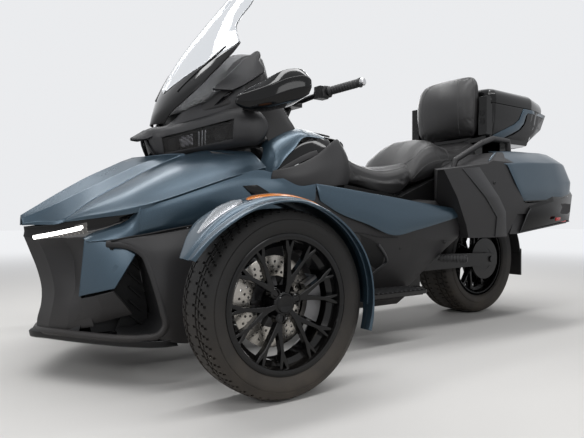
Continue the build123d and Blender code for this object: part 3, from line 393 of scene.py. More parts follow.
def plate(name, points, depth, rim=1.0, both=False):
    """A flat outline of points, extruded along a vector."""
    piece = ring_of(name, points)
    move = {"TRANSFORM_OT_translate": {"value": Vector(depth) * MM}}
    in_edit_mode(piece, (bpy.ops.mesh.extrude_region_move, move))
    face_out(piece)
    if rim:
        bevelled(piece, rim)
    if both:
        mirror_over(piece)
    apply_modifiers(piece)
    return smooth(piece)


def turned(name, profile, centre, steps=96, axis=(0, 1, 0), start=(0, 0, 1)):
    """A turned part: a closed profile of (along the axis, radius), spun about a centre."""
    middle, shaft, away = Vector(centre), Vector(axis).normalized(), Vector(start)
    piece = ring_of(name, [middle + shaft * along + away * radius for along, radius in profile])
    spin = {"steps": steps, "angle": 2 * pi, "center": middle * MM, "axis": shaft}
    in_edit_mode(piece, (bpy.ops.mesh.delete, {"type": "ONLY_FACE"}), SELECT_ALL, (bpy.ops.mesh.spin, spin))
    face_out(piece)
    return smooth(piece)


def bar(name, points, radius, steps=6, sides=5, both=False):
    """A round bar that runs smoothly through points."""
    places = [Vector(point) * MM for point in points]
    if steps > 1:
        places = smooth_line(places, steps)
    bpy.ops.object.select_all(action="DESELECT")
    bpy.ops.curve.primitive_nurbs_path_add(location=(0, 0, 0))
    piece = bpy.context.object
    piece.name = name
    curve = piece.data
    curve.splines.clear()
    run = curve.splines.new("POLY")
    run.points.add(len(places) - 1)
    for knot, place in zip(run.points, places):
        knot.co = (*place, 1)
    curve.bevel_depth = radius * MM
    curve.bevel_resolution = sides
    curve.use_fill_caps = True
    select_only(piece)
    bpy.ops.object.convert(target="MESH")
    piece = bpy.context.object
    face_out(piece)
    if both:
        on_both_sides(piece)
    return smooth(piece, 50)


# %% Copies and joins
def changed_copy(piece, change):
    """A copy with its own mesh, to which a matrix is applied."""
    copy = piece.copy()
    copy.data = piece.data.copy()
    bpy.context.collection.objects.link(copy)
    copy.data.transform(change)
    return copy


def twin_of(piece, name=None):
    """The same piece on the other side of the vehicle. It is named after the left one."""
    copy = changed_copy(piece, Matrix.Scale(-1, 4, (0, 1, 0)))
    copy.name = name or piece.name.replace("left", "right")
    copy.data.flip_normals()
    return copy


def joined(name, pieces):
    """One object out of several."""
    select_only(*pieces)
    if len(pieces) > 1:
        bpy.ops.object.join()
    whole = bpy.context.object
    whole.name = name
    return whole


def about(centre, angle, axis):
    """The matrix of a turn about an axis through a centre, with the angle in radians."""
    middle = Vector(centre) * MM
    return Matrix.Translation(middle) @ Matrix.Rotation(angle, 4, axis) @ Matrix.Translation(-middle)


def turned_copies(piece, count, centre):
    """A piece and its copies, spread evenly round an axle, as one object."""
    turns = [about(centre, 2 * pi * number / count, (0, 1, 0)) for number in range(1, count)]
    return joined(piece.name, [piece] + [changed_copy(piece, turn) for turn in turns])


# %% Finishing a piece
def dress(piece, material, *replaced, body="root", slot=None):
    """Give a piece its material, the body it moves with and the nodes it stands for. The slot is not used."""
    piece.data.materials.clear()
    piece.data.materials.append(material)
    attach(piece, body)
    if replaced:
        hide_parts(*replaced)
    print(piece.name, "faces:", len(piece.data.polygons))


def dress_pair(piece, material, *replaced, body, slot=None):
    """Dress a left piece and its twin. The names given are those of the left side."""
    other = twin_of(piece)
    dress(piece, material, *replaced, body=body, slot=slot)
    to_right = [name.replace("left", "right") for name in replaced]
    dress(other, material, *to_right, body=body.replace("left", "right"), slot=slot)


def dress_node(name, material, edge=1.2):
    """Give a part that keeps its own mesh a material and softly rounded edges."""
    node = nodes[name]
    for holder in node.material_slots:
        holder.material = material
    if not node.material_slots:
        node.data.materials.append(material)
    node.modifiers.new("weld", "WELD").merge_threshold = 0.02 * MM
    bevelled(node, edge, 35, 2)
    node.modifiers.new("even", "WEIGHTED_NORMAL")

# %% [markdown]
# ## Finishes
#
# No real surface is one flat colour. Satin paint holds fine metal flakes, moulded plastic has a
# spark-eroded grain, and everything near the floor picks up a little dust. Each effect is a small
# node group, built once and placed in every material that needs it, with its own values there.

# %% Effects shared by the materials
SOCKET_KINDS = {"Place": "NodeSocketVector", "Colour": "NodeSocketColor"}
NUMBER = "NodeSocketFloat"
DUST_COLOUR = (0.20, 0.16, 0.12, 1)
PORE_DEPTH = 0.18


def effect(name, output, **inputs):
    """A node group that works at a place: the group, what its inputs give, and its output node."""
    group = bpy.data.node_groups.new(name, "ShaderNodeTree")
    for title, value in {"Place": None, **inputs}.items():
        kind = SOCKET_KINDS.get(title, NUMBER)
        socket = group.interface.new_socket(title, in_out="INPUT", socket_type=kind)
        if value is not None:
            socket.default_value = value
    group.interface.new_socket(output, in_out="OUTPUT", socket_type=SOCKET_KINDS.get(output, NUMBER))
    return group, group.nodes.new("NodeGroupInput").outputs, group.nodes.new("NodeGroupOutput")


def noise(tree, place, scale, detail):
    """A noise texture's value at a place."""
    return wired(tree, "TexNoise", {"Vector": place, "Scale": scale, "Detail": detail}).outputs["Fac"]


def around(tree, value, amount, middle):
    """A value between 0 and 1, spread by an amount to both sides of a middle."""
    swing = calculated(tree, "MULTIPLY", calculated(tree, "SUBTRACT", value, 0.5), amount)
    return calculated(tree, "ADD", calculated(tree, "MULTIPLY", swing, 2.0), middle)


def scaled(tree, colour, factor):
    """A colour made brighter or darker."""
    return wired(tree, "VectorMath", {0: colour, "Scale": factor}, operation="SCALE").outputs[0]


tone, given, result = effect("tone_drift", "Colour", Colour=None, Scale=6.0, Amount=0.1)
drift = noise(tone, given["Place"], given["Scale"], 3.0)
feed(tone, result, {"Colour": scaled(tone, given["Colour"], around(tone, drift, given["Amount"], 1.0))})

smudge, given, result = effect("smudges", "Roughness", Roughness=0.4, Scale=9.0, Amount=0.08)
patch = noise(smudge, given["Place"], given["Scale"], 5.0)
feed(smudge, result, {"Roughness": around(smudge, patch, given["Amount"], given["Roughness"])})

dust, given, result = effect("floor_dust", "Colour", Colour=None, Top=0.35, Amount=0.3)
height = wired(dust, "SeparateXYZ", {0: given["Place"]}).outputs["Z"]
film = calculated(dust, "SUBTRACT", 1.0, calculated(dust, "DIVIDE", height, given["Top"]))
cloud = noise(dust, given["Place"], 14.0, 4.0)
film = calculated(dust, "MULTIPLY", calculated(dust, "MAXIMUM", film, 0.0), cloud)
film = calculated(dust, "MULTIPLY", film, given["Amount"])
feed(dust, result, {"Colour": mixed(dust, film, given["Colour"], DUST_COLOUR)})

grain, given, result = effect("moulded_grain", "Height", Scale=900.0)
feed(grain, result, {"Height": noise(grain, given["Place"], given["Scale"], 3.0)})

hide, given, result = effect("leather_grain", "Height", Scale=380.0)
cells = {"Vector": given["Place"], "Scale": given["Scale"]}
pores = wired(hide, "TexVoronoi", cells, feature="DISTANCE_TO_EDGE").outputs["Distance"]
feed(hide, result, {"Height": calculated(hide, "MINIMUM", pores, PORE_DEPTH)})

flake, given, result = effect("metal_flake", "Colour", Colour=None, Scale=1400.0, Amount=0.25)
specks = wired(flake, "TexVoronoi", {"Vector": given["Place"], "Scale": given["Scale"]})
glint = wired(flake, "SeparateColor", {0: specks.outputs["Color"]}).outputs[0]
feed(flake, result, {"Colour": scaled(flake, given["Colour"], around(flake, glint, given["Amount"], 1.0))})
print("effects:", [group.name for group in bpy.data.node_groups])

# %% [markdown]
# A recipe turns these effects into a material. The colour and roughness run through the groups, the
# grain feeds a Bump node, and every value that is the same all over stays on the shader itself.

# %% A recipe for one finish
BUMP_STRENGTH = 0.6


def place_effect(tree, group, place, **values):
    """What a node group gives in a material, from a place and its other values."""
    return wired(tree, "Group", {"Place": place, **values}, node_tree=group).outputs[0]


def finish_of(name, colour, rough, metal=0.0, shine=0.5, coat=0.0, coat_rough=0.04, tone_by=0.08,
              tone_scale=6.0, smudge_by=0.06, dust_by=0.0, flakes=0.0, bump=None):
    """A finish: colour with drift, flakes and dust, roughness with smudges, and a fine relief, which
    is given as an effect with its scale and its height in millimetres."""
    material, tree, shader = new_material(name)
    place = own_place(tree)
    paint = place_effect(tree, tone, place, Colour=(*colour, 1), Scale=tone_scale, Amount=tone_by)
    if flakes:
        paint = place_effect(tree, flake, place, Colour=paint, Amount=flakes)
    if dust_by:
        paint = place_effect(tree, dust, place, Colour=paint, Amount=dust_by)
    sheen = place_effect(tree, smudge, place, Roughness=rough, Amount=smudge_by)
    feed(tree, shader, {
        "Base Color": paint, "Roughness": sheen,
        "Metallic": metal, "Specular IOR Level": shine, "Coat Weight": coat, "Coat Roughness": coat_rough,
    })
    if bump:
        group, scale, height = bump
        relief = place_effect(tree, group, place, Scale=scale)
        relief = wired(tree, "Bump", {"Height": relief, "Strength": BUMP_STRENGTH, "Distance": height * MM})
        feed(tree, shader, {"Normal": relief.outputs["Normal"]})
    return material


# Paint and plastic
body_paint = finish_of(
    "satin_blue_paint", (0.034, 0.062, 0.088), 0.30, metal=0.60, coat=0.35, coat_rough=0.22,
    flakes=0.18, tone_by=0.05, dust_by=0.12,
)
charcoal = finish_of("grained_charcoal", (0.017, 0.0165, 0.0175), 0.48, shine=0.32,
                     bump=(grain, 1100, 0.05), dust_by=0.12)
grey_plastic = finish_of("satin_grey_plastic", (0.022, 0.022, 0.024), 0.42, shine=0.4,
                         bump=(grain, 1500, 0.05))
gloss_black = finish_of("gloss_black", (0.003, 0.003, 0.0034), 0.08, shine=0.28, tone_by=0.04,
                        smudge_by=0.03)
mesh_black = finish_of("grille_black", (0.005, 0.005, 0.0055), 0.55, shine=0.25)

# Metal
frame_black = finish_of("frame_black", (0.008, 0.008, 0.0085), 0.34, shine=0.3, dust_by=0.12)
engine_metal = finish_of("cast_engine", (0.05, 0.05, 0.053), 0.46, metal=0.6,
                         bump=(grain, 500, 0.2), dust_by=0.3)
turned_steel = finish_of("turned_steel", (0.50, 0.50, 0.51), 0.28, metal=1.0, dust_by=0.2)
cast_alloy = finish_of("cast_alloy", (0.17, 0.17, 0.175), 0.40, metal=0.9,
                       bump=(grain, 600, 0.12), dust_by=0.15)
rim_gloss = finish_of("gloss_rim_paint", (0.003, 0.003, 0.0034), 0.12, shine=0.3, tone_by=0.04,
                      dust_by=0.04)
disc_steel = finish_of("ground_disc_steel", (0.36, 0.34, 0.31), 0.26, metal=1.0, tone_by=0.10,
                       tone_scale=30)
muffler_black = finish_of("satin_muffler_black", (0.035, 0.035, 0.037), 0.36, metal=0.3, dust_by=0.2)

# Rubber and upholstery
rubber = finish_of("tyre_rubber", (0.0155, 0.015, 0.0148), 0.68, shine=0.3, tone_by=0.14,
                   bump=(grain, 700, 0.08), dust_by=0.35, tone_scale=9)
grip_rubber = finish_of("grip_rubber", (0.022, 0.022, 0.023), 0.62, bump=(grain, 1500, 0.05))
vinyl = finish_of("seat_vinyl", (0.017, 0.0165, 0.017), 0.42, shine=0.4, tone_by=0.12,
                  smudge_by=0.10, bump=(hide, 420, 0.25))
vinyl_side = finish_of("seat_vinyl_side", (0.012, 0.012, 0.0125), 0.40, shine=0.4, tone_by=0.10,
                       bump=(hide, 520, 0.2))
thread = finish_of("seat_thread", (0.055, 0.054, 0.055), 0.7)

# Bright and coloured trim
chrome = finish_of("bright_reflector", (0.40, 0.40, 0.42), 0.12, metal=1.0, tone_by=0.03,
                   smudge_by=0.02)
silver_trim = finish_of("silver_trim", (0.62, 0.64, 0.68), 0.25, metal=0.9, tone_by=0.03)
amber = finish_of("amber_reflector", (0.66, 0.20, 0.02), 0.20, coat=0.5, bump=(hide, 260, 0.4))
red_lens = finish_of("red_reflector", (0.42, 0.012, 0.012), 0.18, coat=0.6, bump=(hide, 260, 0.4))
mirror_glass = finish_of("mirror_glass", (0.85, 0.87, 0.90), 0.03, metal=1.0, tone_by=0.02,
                         smudge_by=0.01)

# %% [markdown]
# Clear parts need their own recipe. The windscreen lets light through, so it is glass. A lens over a
# lamp is a film of partial cover, so that light reaches what is behind it without a mottled pattern. A
# lit strip of diodes is an emitter with a small cell pattern.


# %% Clear and glowing finishes
def clear_finish(name, colour, rough=0.02, ior=1.45, through=0.0, cover=1.0):
    """A see-through plastic, with a faint unevenness in its gloss."""
    material, tree, shader = new_material(name)
    place = own_place(tree)
    feed(tree, shader, {
        "Base Color": place_effect(tree, tone, place, Colour=(*colour, 1), Scale=4.0, Amount=0.02),
        "Roughness": place_effect(tree, smudge, place, Roughness=rough, Scale=12.0, Amount=0.01),
        "Transmission Weight": through, "IOR": ior, "Alpha": cover,
    })
    return material


clear_lens = clear_finish("clear_lens", (0.72, 0.75, 0.78), cover=0.30)
smoked_lens = clear_finish("smoked_lens", (0.012, 0.011, 0.011), cover=0.42)
screen_clear = clear_finish("clear_screen", (0.84, 0.86, 0.88), 0.01, 1.16, through=1.0)

diodes, tree, shader = new_material("white_diodes")
glow = place_effect(tree, tone, own_place(tree), Colour=(1.0, 0.97, 0.93, 1), Scale=90.0, Amount=0.25)
feed(tree, shader, {"Base Color": glow, "Emission Color": glow, "Emission Strength": 4.0})

# %% [markdown]
# ## Wheels
#
# A tyre is turned from its section, but its tread isn't: grooves repeat round it at a pitch of a few
# centimetres. The section is spun in one step for every quarter of a pitch, and the faces that lie in
# a groove are chosen by their place in that pattern and pushed in. The grooves lean forward at the
# shoulders, so the choice shifts with the distance from the middle of the tread.

# %% Tyres with tread
TREAD_PITCHES, STEPS_IN_PITCH = 60, 4
GROOVE_DEPTH, GROOVE_SLANT = 5, 0.085
FRONT_AXLE, REAR_AXLE = (817, 0, 281), (-897, 0, 303)
HALF_TRACK = 654
FRONT_HUB = (FRONT_AXLE[0], HALF_TRACK, FRONT_AXLE[2])
FRONT_RIM_WIDTH, REAR_RIM_WIDTH = 127, 178


def tyre(name, centre, radius, width, rim_width):
    """A tyre: bead, sidewall and shoulder turned, tread grooves pushed into the crown."""
    seat, half = rim_width / 2, width / 2
    outer = [
        (seat, 191), (seat + 1, 206), (half - 10, 214), (half - 2, 232), (half, 243), (half - 1, 247),
        (half - 3, 248), (half - 2, radius - 30), (half - 5, radius - 22), (half - 10, radius - 12),
        (half - 17, radius - 7), (half - 27, radius - 3.4), (half - 34, radius - 2.6),
        (half - 40, radius - 2), (half * 0.42, radius - 1), (half * 0.32, radius - 0.8),
        (half * 0.14, radius - 0.2),
    ]
    inner = [(half - 30, radius - 18), (half - 14, radius - 40), (seat - 12, 200), (seat - 12, 191)]
    profile = outer + [(-along, up) for along, up in reversed(outer)]
    profile += [(-along, up) for along, up in reversed(inner)] + [(0, radius - 14)] + inner
    steps = TREAD_PITCHES * STEPS_IN_PITCH
    piece = turned(name, profile, centre, steps)
    middle = Vector(centre) * MM

    def in_groove(face):
        """Lengthwise grooves, and slanted cross grooves at every pitch."""
        offset = face.center - middle
        height, across = hypot(offset.x, offset.z) / MM, abs(offset.y) / MM
        if height < radius - 11 or across > half - 8:
            return False
        lengthwise = half - 41 < across < half - 33 or half * 0.31 < across < half * 0.43
        turn = atan2(offset.z, offset.x) / (2 * pi) * steps
        slant = turn + (across if offset.y > 0 else -across) * GROOVE_SLANT
        return lengthwise or (slant % STEPS_IN_PITCH < 1 and across > half * 0.14)

    select_only(piece)
    bpy.ops.object.mode_set(mode="EDIT")
    bpy.ops.mesh.select_mode(type="FACE")
    bpy.ops.mesh.select_all(action="DESELECT")
    bpy.ops.object.mode_set(mode="OBJECT")
    for face in piece.data.polygons:
        face.select = in_groove(face)
    bpy.ops.object.mode_set(mode="EDIT")
    bpy.ops.mesh.extrude_region_shrink_fatten(TRANSFORM_OT_shrink_fatten={"value": -GROOVE_DEPTH * MM})
    bpy.ops.object.mode_set(mode="OBJECT")
    return smooth(piece, 28)


front_tyre = tyre("front_tread_left", FRONT_HUB, 280.6, 164.6, FRONT_RIM_WIDTH)
dress_pair(front_tyre, rubber, "front_tyre_left", body="front_wheel_left")
rear_tyre = tyre("rear_tread", REAR_AXLE, 302.6, 224.6, REAR_RIM_WIDTH)
dress(rear_tyre, rubber, "rear_tyre", body="rear_wheel")

# %% [markdown]
# The cast rims have six spokes. Each leaves the hub as one wedge, splits in two half way out, and each
# limb forks again near the edge. The outline of a spoke is drawn in polar form, as its maker would
# draw it: a radius and an angle from the spoke's own centre line. It is a plate, domed outwards so
# that it dips towards the hub, and copied five times round the axle.

# %% Rims
SPOKES, BOLTS = 6, 3
SPOKE_TIP, BOLT_CIRCLE = 189, 44
FIRST_SPOKE = radians(-46.5)
# Half of a spoke: (radius, degrees from its centre line), from the hub out and back to the split
HALF_SPOKE = [
    (30, 15), (58, 9.5), (98, 12), (143, 14.2), (166, 17.5), (SPOKE_TIP, 18.6), (SPOKE_TIP, 15.6),
    (166, 12.6), (SPOKE_TIP, 11.2), (SPOKE_TIP, 8.4), (160, 8.8), (140, 9.2), (104, 4.4), (86, 0),
]


def barrel_profile(width):
    """The rim's wall in section, from flange to flange, with its drop well."""
    seat = width / 2
    outside = [
        (seat + 6, 204), (seat + 5, 207), (seat + 2, 207), (seat, 204), (seat, 191), (seat - 22, 190),
        (seat - 34, 174),
    ]
    inside = [(seat - 36, 168), (seat - 24, 182), (seat - 4, 186), (seat + 4, 190), (seat + 6, 196)]
    across = [[(-along, up) for along, up in reversed(wall)] for wall in (outside, inside)]
    return outside + across[0] + across[1] + inside


def on_bolt_circle(name, profile, centre, y, steps):
    """Turned parts that sit round the hub, one between every second pair of spokes."""
    one = turned(name, profile, (centre[0] + BOLT_CIRCLE, y, centre[2]), steps)
    one.data.transform(about(centre, FIRST_SPOKE, "Y"))
    return turned_copies(one, BOLTS, centre)


def rim(name, centre, width, face_y, depth, dish):
    """A cast rim: turned barrel and hub, with forked spokes."""
    barrel = turned(name + "_barrel", barrel_profile(width), centre, 120)
    outline = [
        (centre[0] + radius * cos(radians(turn)), face_y, centre[2] + radius * sin(radians(turn)))
        for radius, turn in HALF_SPOKE + [(radius, -turn) for radius, turn in reversed(HALF_SPOKE[:-1])]
    ]
    spoke = plate(name + "_spoke", outline, (0, -depth, 0), rim=0)
    for vertex in spoke.data.vertices:
        out = hypot(vertex.co.x / MM - centre[0], vertex.co.z / MM - centre[2]) / SPOKE_TIP
        vertex.co.y += dish * (out ** 2 - 1) * MM
    bevelled(spoke, 3.0)
    apply_modifiers(spoke)
    smooth(spoke)
    spoke.data.transform(about(centre, FIRST_SPOKE, "Y"))
    star = turned_copies(spoke, SPOKES, centre)
    face = face_y - dish - centre[1]
    hub = turned(name + "_hub", [
        (face - 3, 17), (face + 3, 17), (face + 3, 30), (face + 1, 33), (face - 4, 36),
        (face - depth - 8, 52), (face - depth - 40, 40), (face - depth - 40, 18),
    ], centre, 60)
    lobe_profile = [(-24, 9), (-1, 9), (3, 11), (3, 14), (0, 17), (-24, 19)]
    lobes = on_bolt_circle(name + "_lobe", lobe_profile, centre, face + centre[1], 32)
    return joined(name, [barrel, star, hub, lobes])


front_rim = rim("front_wheel_casting_left", FRONT_HUB, FRONT_RIM_WIDTH, 714, 24, 18)
dress_pair(front_rim, rim_gloss, "front_rim_left", body="front_wheel_left")
rear_rim = rim("rear_wheel_casting", REAR_AXLE, REAR_RIM_WIDTH, 60, 28, 10)
rear_barrel = [(-132, 17), (132, 17), (132, 34), (90, 38), (-90, 38), (-132, 34)]
rear_rim = joined("rear_wheel_casting", [
    rear_rim, twin_of(rear_rim), turned("rear_barrel", rear_barrel, REAR_AXLE, 48),
])
dress(rear_rim, rim_gloss, "rear_rim", body="rear_wheel")

# %% Wheel bolts and centre caps
NUT_Y = 697
bolt_profile = [(-16, 0), (-6, 0), (-6, 4), (-2, 4.5), (-2, 7.5), (-3, 8.5), (-16, 8.5)]
nuts = on_bolt_circle("front_nuts_left", bolt_profile, FRONT_HUB, NUT_Y, 6)
dress_pair(nuts, turned_steel, body="front_wheel_left")
cap_profile = [
    (3.6, 0), (4.6, 0), (4.8, 4), (4.8, 18), (5.5, 20), (5.5, 26), (3, 28), (-8, 28), (-8, 20), (3.6, 20),
]
cap_left = turned("front_nuts_left_cap", cap_profile, (FRONT_HUB[0], NUT_Y, FRONT_HUB[2]), 60)
cap_right = twin_of(cap_left, "front_cap_right")
dress(cap_left, gloss_black, body="front_wheel_left", slot="rim_paint")
dress(cap_right, gloss_black, body="front_wheel_right", slot="rim_paint")

# %% [markdown]
# A brake disc is a ground steel ring with rows of small holes. One row of holes is a set of round
# prisms that a Boolean takes out of the ring, and the ring sits on a dark carrier.

# %% Brake discs
DISC_INNER, DISC_OUTER, DISC_HALF = 78, 139, 3
HOLE_ROWS, HOLES_IN_ROW, HOLE_RADIUS = (90, 105, 120), 30, 4.2
FRONT_DISC_Y, REAR_DISC_Y = 635, -121
CARRIER_ARM = [(30, -9), (84, -5), (84, 5), (30, 9)]


def brake_disc(name, centre, disc_y):
    """A drilled brake ring of 6 mm steel."""
    middle = (centre[0], disc_y, centre[2])
    edge = DISC_HALF - 0.4
    ring = turned(name, [
        (-edge, DISC_INNER), (edge, DISC_INNER), (DISC_HALF, DISC_INNER + 1), (DISC_HALF, DISC_OUTER - 1),
        (edge, DISC_OUTER), (-edge, DISC_OUTER), (-DISC_HALF, DISC_OUTER - 1), (-DISC_HALF, DISC_INNER + 1),
    ], middle, 90)
    drills = []
    for row, distance in enumerate(HOLE_ROWS):
        bpy.ops.object.select_all(action="DESELECT")
        turn = 2 * pi * row / (len(HOLE_ROWS) * HOLES_IN_ROW)
        x, z = centre[0] + distance * cos(turn), centre[2] + distance * sin(turn)
        bpy.ops.mesh.primitive_cylinder_add(
            vertices=10, radius=HOLE_RADIUS * MM, depth=14 * MM, rotation=(pi / 2, 0, 0),
            location=(x * MM, disc_y * MM, z * MM),
        )
        bpy.ops.object.transform_apply(location=True, rotation=True, scale=True)
        drill = bpy.context.object
        drill.name = name + "_drill"
        drills.append(turned_copies(drill, HOLES_IN_ROW, middle))
    drill = joined(name + "_drills", drills)
    cut = ring.modifiers.new("holes", "BOOLEAN")
    cut.operation = "DIFFERENCE"
    cut.object = drill
    cut.solver = "EXACT"
    apply_modifiers(ring)
    bpy.data.objects.remove(drill)
    return smooth(ring, 30)


def disc_carrier(name, centre, disc_y):
    """The spider that carries the ring, with six arms."""
    outline = [(centre[0] + out, disc_y - 3, centre[2] + up) for out, up in CARRIER_ARM]
    arms = turned_copies(plate(name, outline, (0, 6, 0), 0.8), 6, centre)
    eye = turned(name + "_eye", [(-5, 30), (5, 30), (5, 48), (-5, 48)], (centre[0], disc_y, centre[2]), 48)
    return joined(name, [arms, eye])


front_disc = brake_disc("front_brake_ring_left", FRONT_HUB, FRONT_DISC_Y)
dress_pair(front_disc, disc_steel, "front_disc_left", body="front_wheel_left")
front_carrier = disc_carrier("front_disc_carrier_left", FRONT_HUB, FRONT_DISC_Y)
dress_pair(front_carrier, frame_black, body="front_wheel_left", slot="brake_steel")
dress(brake_disc("rear_brake_ring", REAR_AXLE, REAR_DISC_Y), disc_steel, body="rear_wheel")
rear_carrier = disc_carrier("rear_disc_carrier", REAR_AXLE, REAR_DISC_Y)
dress(rear_carrier, frame_black, body="rear_wheel", slot="brake_steel")

# %% Drive pulley
PULLEY_TEETH, TOOTH_FOOT, TOOTH_TIP = 60, 107, 110.5
PULLEY_NEAR, PULLEY_FAR = 119.5, 130.5
tooth_profile = []
for tooth in range(PULLEY_TEETH):
    for share, height in ((0.0, TOOTH_FOOT), (0.2, TOOTH_TIP), (0.6, TOOTH_TIP), (0.8, TOOTH_FOOT)):
        turn = 2 * pi * (tooth + share) / PULLEY_TEETH
        x, z = REAR_AXLE[0] + height * cos(turn), REAR_AXLE[2] + height * sin(turn)
        tooth_profile.append((x, PULLEY_NEAR, z))
teeth = plate("drive_pulley_teeth", tooth_profile, (0, PULLEY_FAR - PULLEY_NEAR, 0), 0)
flange = [(-1.2, 60), (1.2, 60), (1.2, 111.5), (-1.2, 111.5)]
pulley = joined("drive_pulley", [teeth] + [
    turned("drive_pulley_rim", flange, (REAR_AXLE[0], y, REAR_AXLE[2]), 90)
    for y in (PULLEY_NEAR - 0.1, PULLEY_FAR + 0.1)
])
dress(pulley, frame_black, body="rear_wheel", slot="cast_alloy")

# %% [markdown]
# The knuckles, arms, rods and swingarm already have their true shape. They keep their mesh and get a
# softly rounded edge, which is what separates a cast or welded part from a drawing of one.

# %% Running gear that keeps its mesh
for name, finish, edge in (
    ("upright_left", cast_alloy, 2), ("upright_right", cast_alloy, 2), ("suspension_arms", frame_black, 1.2),
    ("tie_rods", turned_steel, 0.8), ("swingarm", frame_black, 2), ("main_frame", frame_black, 2),
    ("engine_block", engine_metal, 3), ("belly_pan", charcoal, 3), ("muffler", muffler_black, 1.5),
    ("rear_fender", charcoal, 2),
):
    dress_node(name, finish, edge)

# %% [markdown]
# ## Front fenders
#
# The fender hugs the tyre. Seen in section it steps down outwards: a raised band carries the lamp and
# the reflector, a dark groove follows, and a flared lip ends it. The lip is longer than the band at
# both ends. Each station is a section at one angle about the axle, so the stations fan round the wheel
# and the net between them is a smooth arch.

# %% Fender shell
# Degrees up from straight ahead, and how far the fender stands off the axle there
STAND_OFF = (
    (20, 372), (34, 352), (48, 336), (66, 322), (84, 315), (100, 307), (114, 301), (130, 298), (150, 299),
    (172, 297), (200, 293),
)
# Each row: y, height at the ends, extra height in the middle, least distance from the inner edge
BAND_SECTION = ((592, -3, 4, 8), (640, 1, 7, 18), (700, 1, 8, 28), (728, 0, 5, 40), (746, -5, 0, 50))
BAND_EDGE_DROP = 12
# Degrees over which the lip and the band run out at their ends
RUN_OUT = 26


def arch_point(turn, y, height):
    """A point over the front wheel: degrees up from straight ahead, y, and radius from the axle."""
    return FRONT_AXLE[0] + height * cos(radians(turn)), y, FRONT_AXLE[2] + height * sin(radians(turn))


def bulge_at(turn):
    """How much of its full height the raised band has: none at its ends, all in the middle."""
    return max(min((turn - 30) / RUN_OUT, 1, (190 - turn) / RUN_OUT), 0)


lip_stations = []
for turn in (24, 30, 38, 48, 60, 75, 90, 105, 120, 135, 150, 165, 180, 192, 200):
    height = between(STAND_OFF, turn, 1)
    taper = min((turn - 20) / RUN_OUT, 1) * min((206 - turn) / RUN_OUT, 1)
    lip_section = (
        (716 + 14 * (1 - taper), 3), (738, 4), (752, 7), (770, 9 * taper), (775.2, 11 * taper), (774, 16),
    )
    lip_stations.append([arch_point(turn, y, height - drop) for y, drop in lip_section])
band_stations = []
for turn in (24, 30, 36, 44, 54, 66, 78, 90, 104, 118, 132, 146, 160, 174, 184):
    height, bulge = between(STAND_OFF, turn, 1), bulge_at(turn)
    edge = 580 + max(46 - turn, 0) * 5
    band_section = [(max(y, edge + push), low + high * bulge) for y, low, high, push in BAND_SECTION]
    band_section = [(edge, -BAND_EDGE_DROP)] + band_section + [(744, -BAND_EDGE_DROP)]
    band_stations.append([arch_point(turn, y, height + up) for y, up in band_section])
fender_lip = panel("fender_lip_left", lip_stations, (0, 0.3, 1), along=3, across=3, crease=0, both=False)
fender_band = panel("fender_band_left", band_stations, (0, 0.3, 1), along=3, both=False)

# %% [markdown]
# The lamp lens and the amber reflector are inlaid in the outer slope of the band. Each is a strip of
# the same surface, lifted a little, so it follows the curve of the fender exactly.


# %% Fender lamp and reflector
def band_strip(name, edges, lift, wall, shrink=0.0):
    """A strip laid on the band. Each edge is a turn with the strip's inner and outer y."""
    rows = []
    for turn, inner, outer in edges:
        low, high = inner + shrink, outer - shrink
        row = []
        for share in (0, 0.25, 0.5, 0.75, 1):
            y = low + (high - low) * share
            stand_off = between(STAND_OFF, turn, 1) + between(BAND_SECTION, y, 1)
            row.append(arch_point(turn, y, stand_off + between(BAND_SECTION, y, 2) * bulge_at(turn) + lift))
        rows.append(row)
    return panel(name, rows, (0, 0.5, 1), wall=wall, crease=0, both=False)


reflector_edges = (
    (66.5, 699, 711), (70, 676, 722), (76, 656, 730), (84, 648, 735), (92, 650, 736), (100, 662, 733),
    (107, 684, 727), (112, 704, 718),
)
lamp_edges = (
    (37, 702, 709), (42, 684, 712), (48, 662, 715), (54, 640, 717), (60, 618, 716), (63.5, 616, 706),
    (65.5, 640, 684),
)
fender_reflector = band_strip("fender_reflector_left", reflector_edges, 1.6, 3)
fender_lens = band_strip("fender_lamp_left", lamp_edges, 3.4, 2)
fender_bowl = band_strip("fender_lamp_bowl_left", lamp_edges, 0.8, 2.5, -1.5)
fender_ribs = []
for turn in (48, 50.5, 53, 55.5, 58, 60.5):
    inner = 726 - 1.7 * (turn - 40)
    fender_ribs.append(band_strip("rib", [(turn, inner, 708), (turn + 0.6, inner, 708)], 1.5, 0.8))
dress_pair(fender_band, body_paint, "fender_left", body="knuckle_left")
for piece, finish in (
    (fender_lip, body_paint), (fender_reflector, amber), (fender_bowl, chrome),
    (joined("fender_lamp_ribs_left", fender_ribs), silver_trim), (fender_lens, clear_lens),
):
    dress_pair(piece, finish, body="knuckle_left")

# %% [markdown]
# ## Nose
#
# The nose is made of panels that meet at sharp lines: a centre panel with a recess on each side, a
# painted tongue that hangs from the hood's lip, a lower blade, and a thick rounded rim round each air
# intake that runs on into the bumper's side. All of them are modelled for the left half and mirrored.

# %% Splitter and centre panel
splitter_edge = [
    (1386, 0), (1374, 30), (1350, 64), (1302, 150), (1240, 246), (1186, 322), (1118, 392), (1072, 412),
    (1030, 414),
]
splitter_rings = [
    whole_ring([(x + grow, y + (grow if y else 0), z) for x, y in splitter_edge])
    for z, grow in ((129, -6), (134, 0), (152, 3), (158, -4))
]
dress(loft("front_splitter", splitter_rings, along=1, crease=1.5), gloss_black, "splitter")

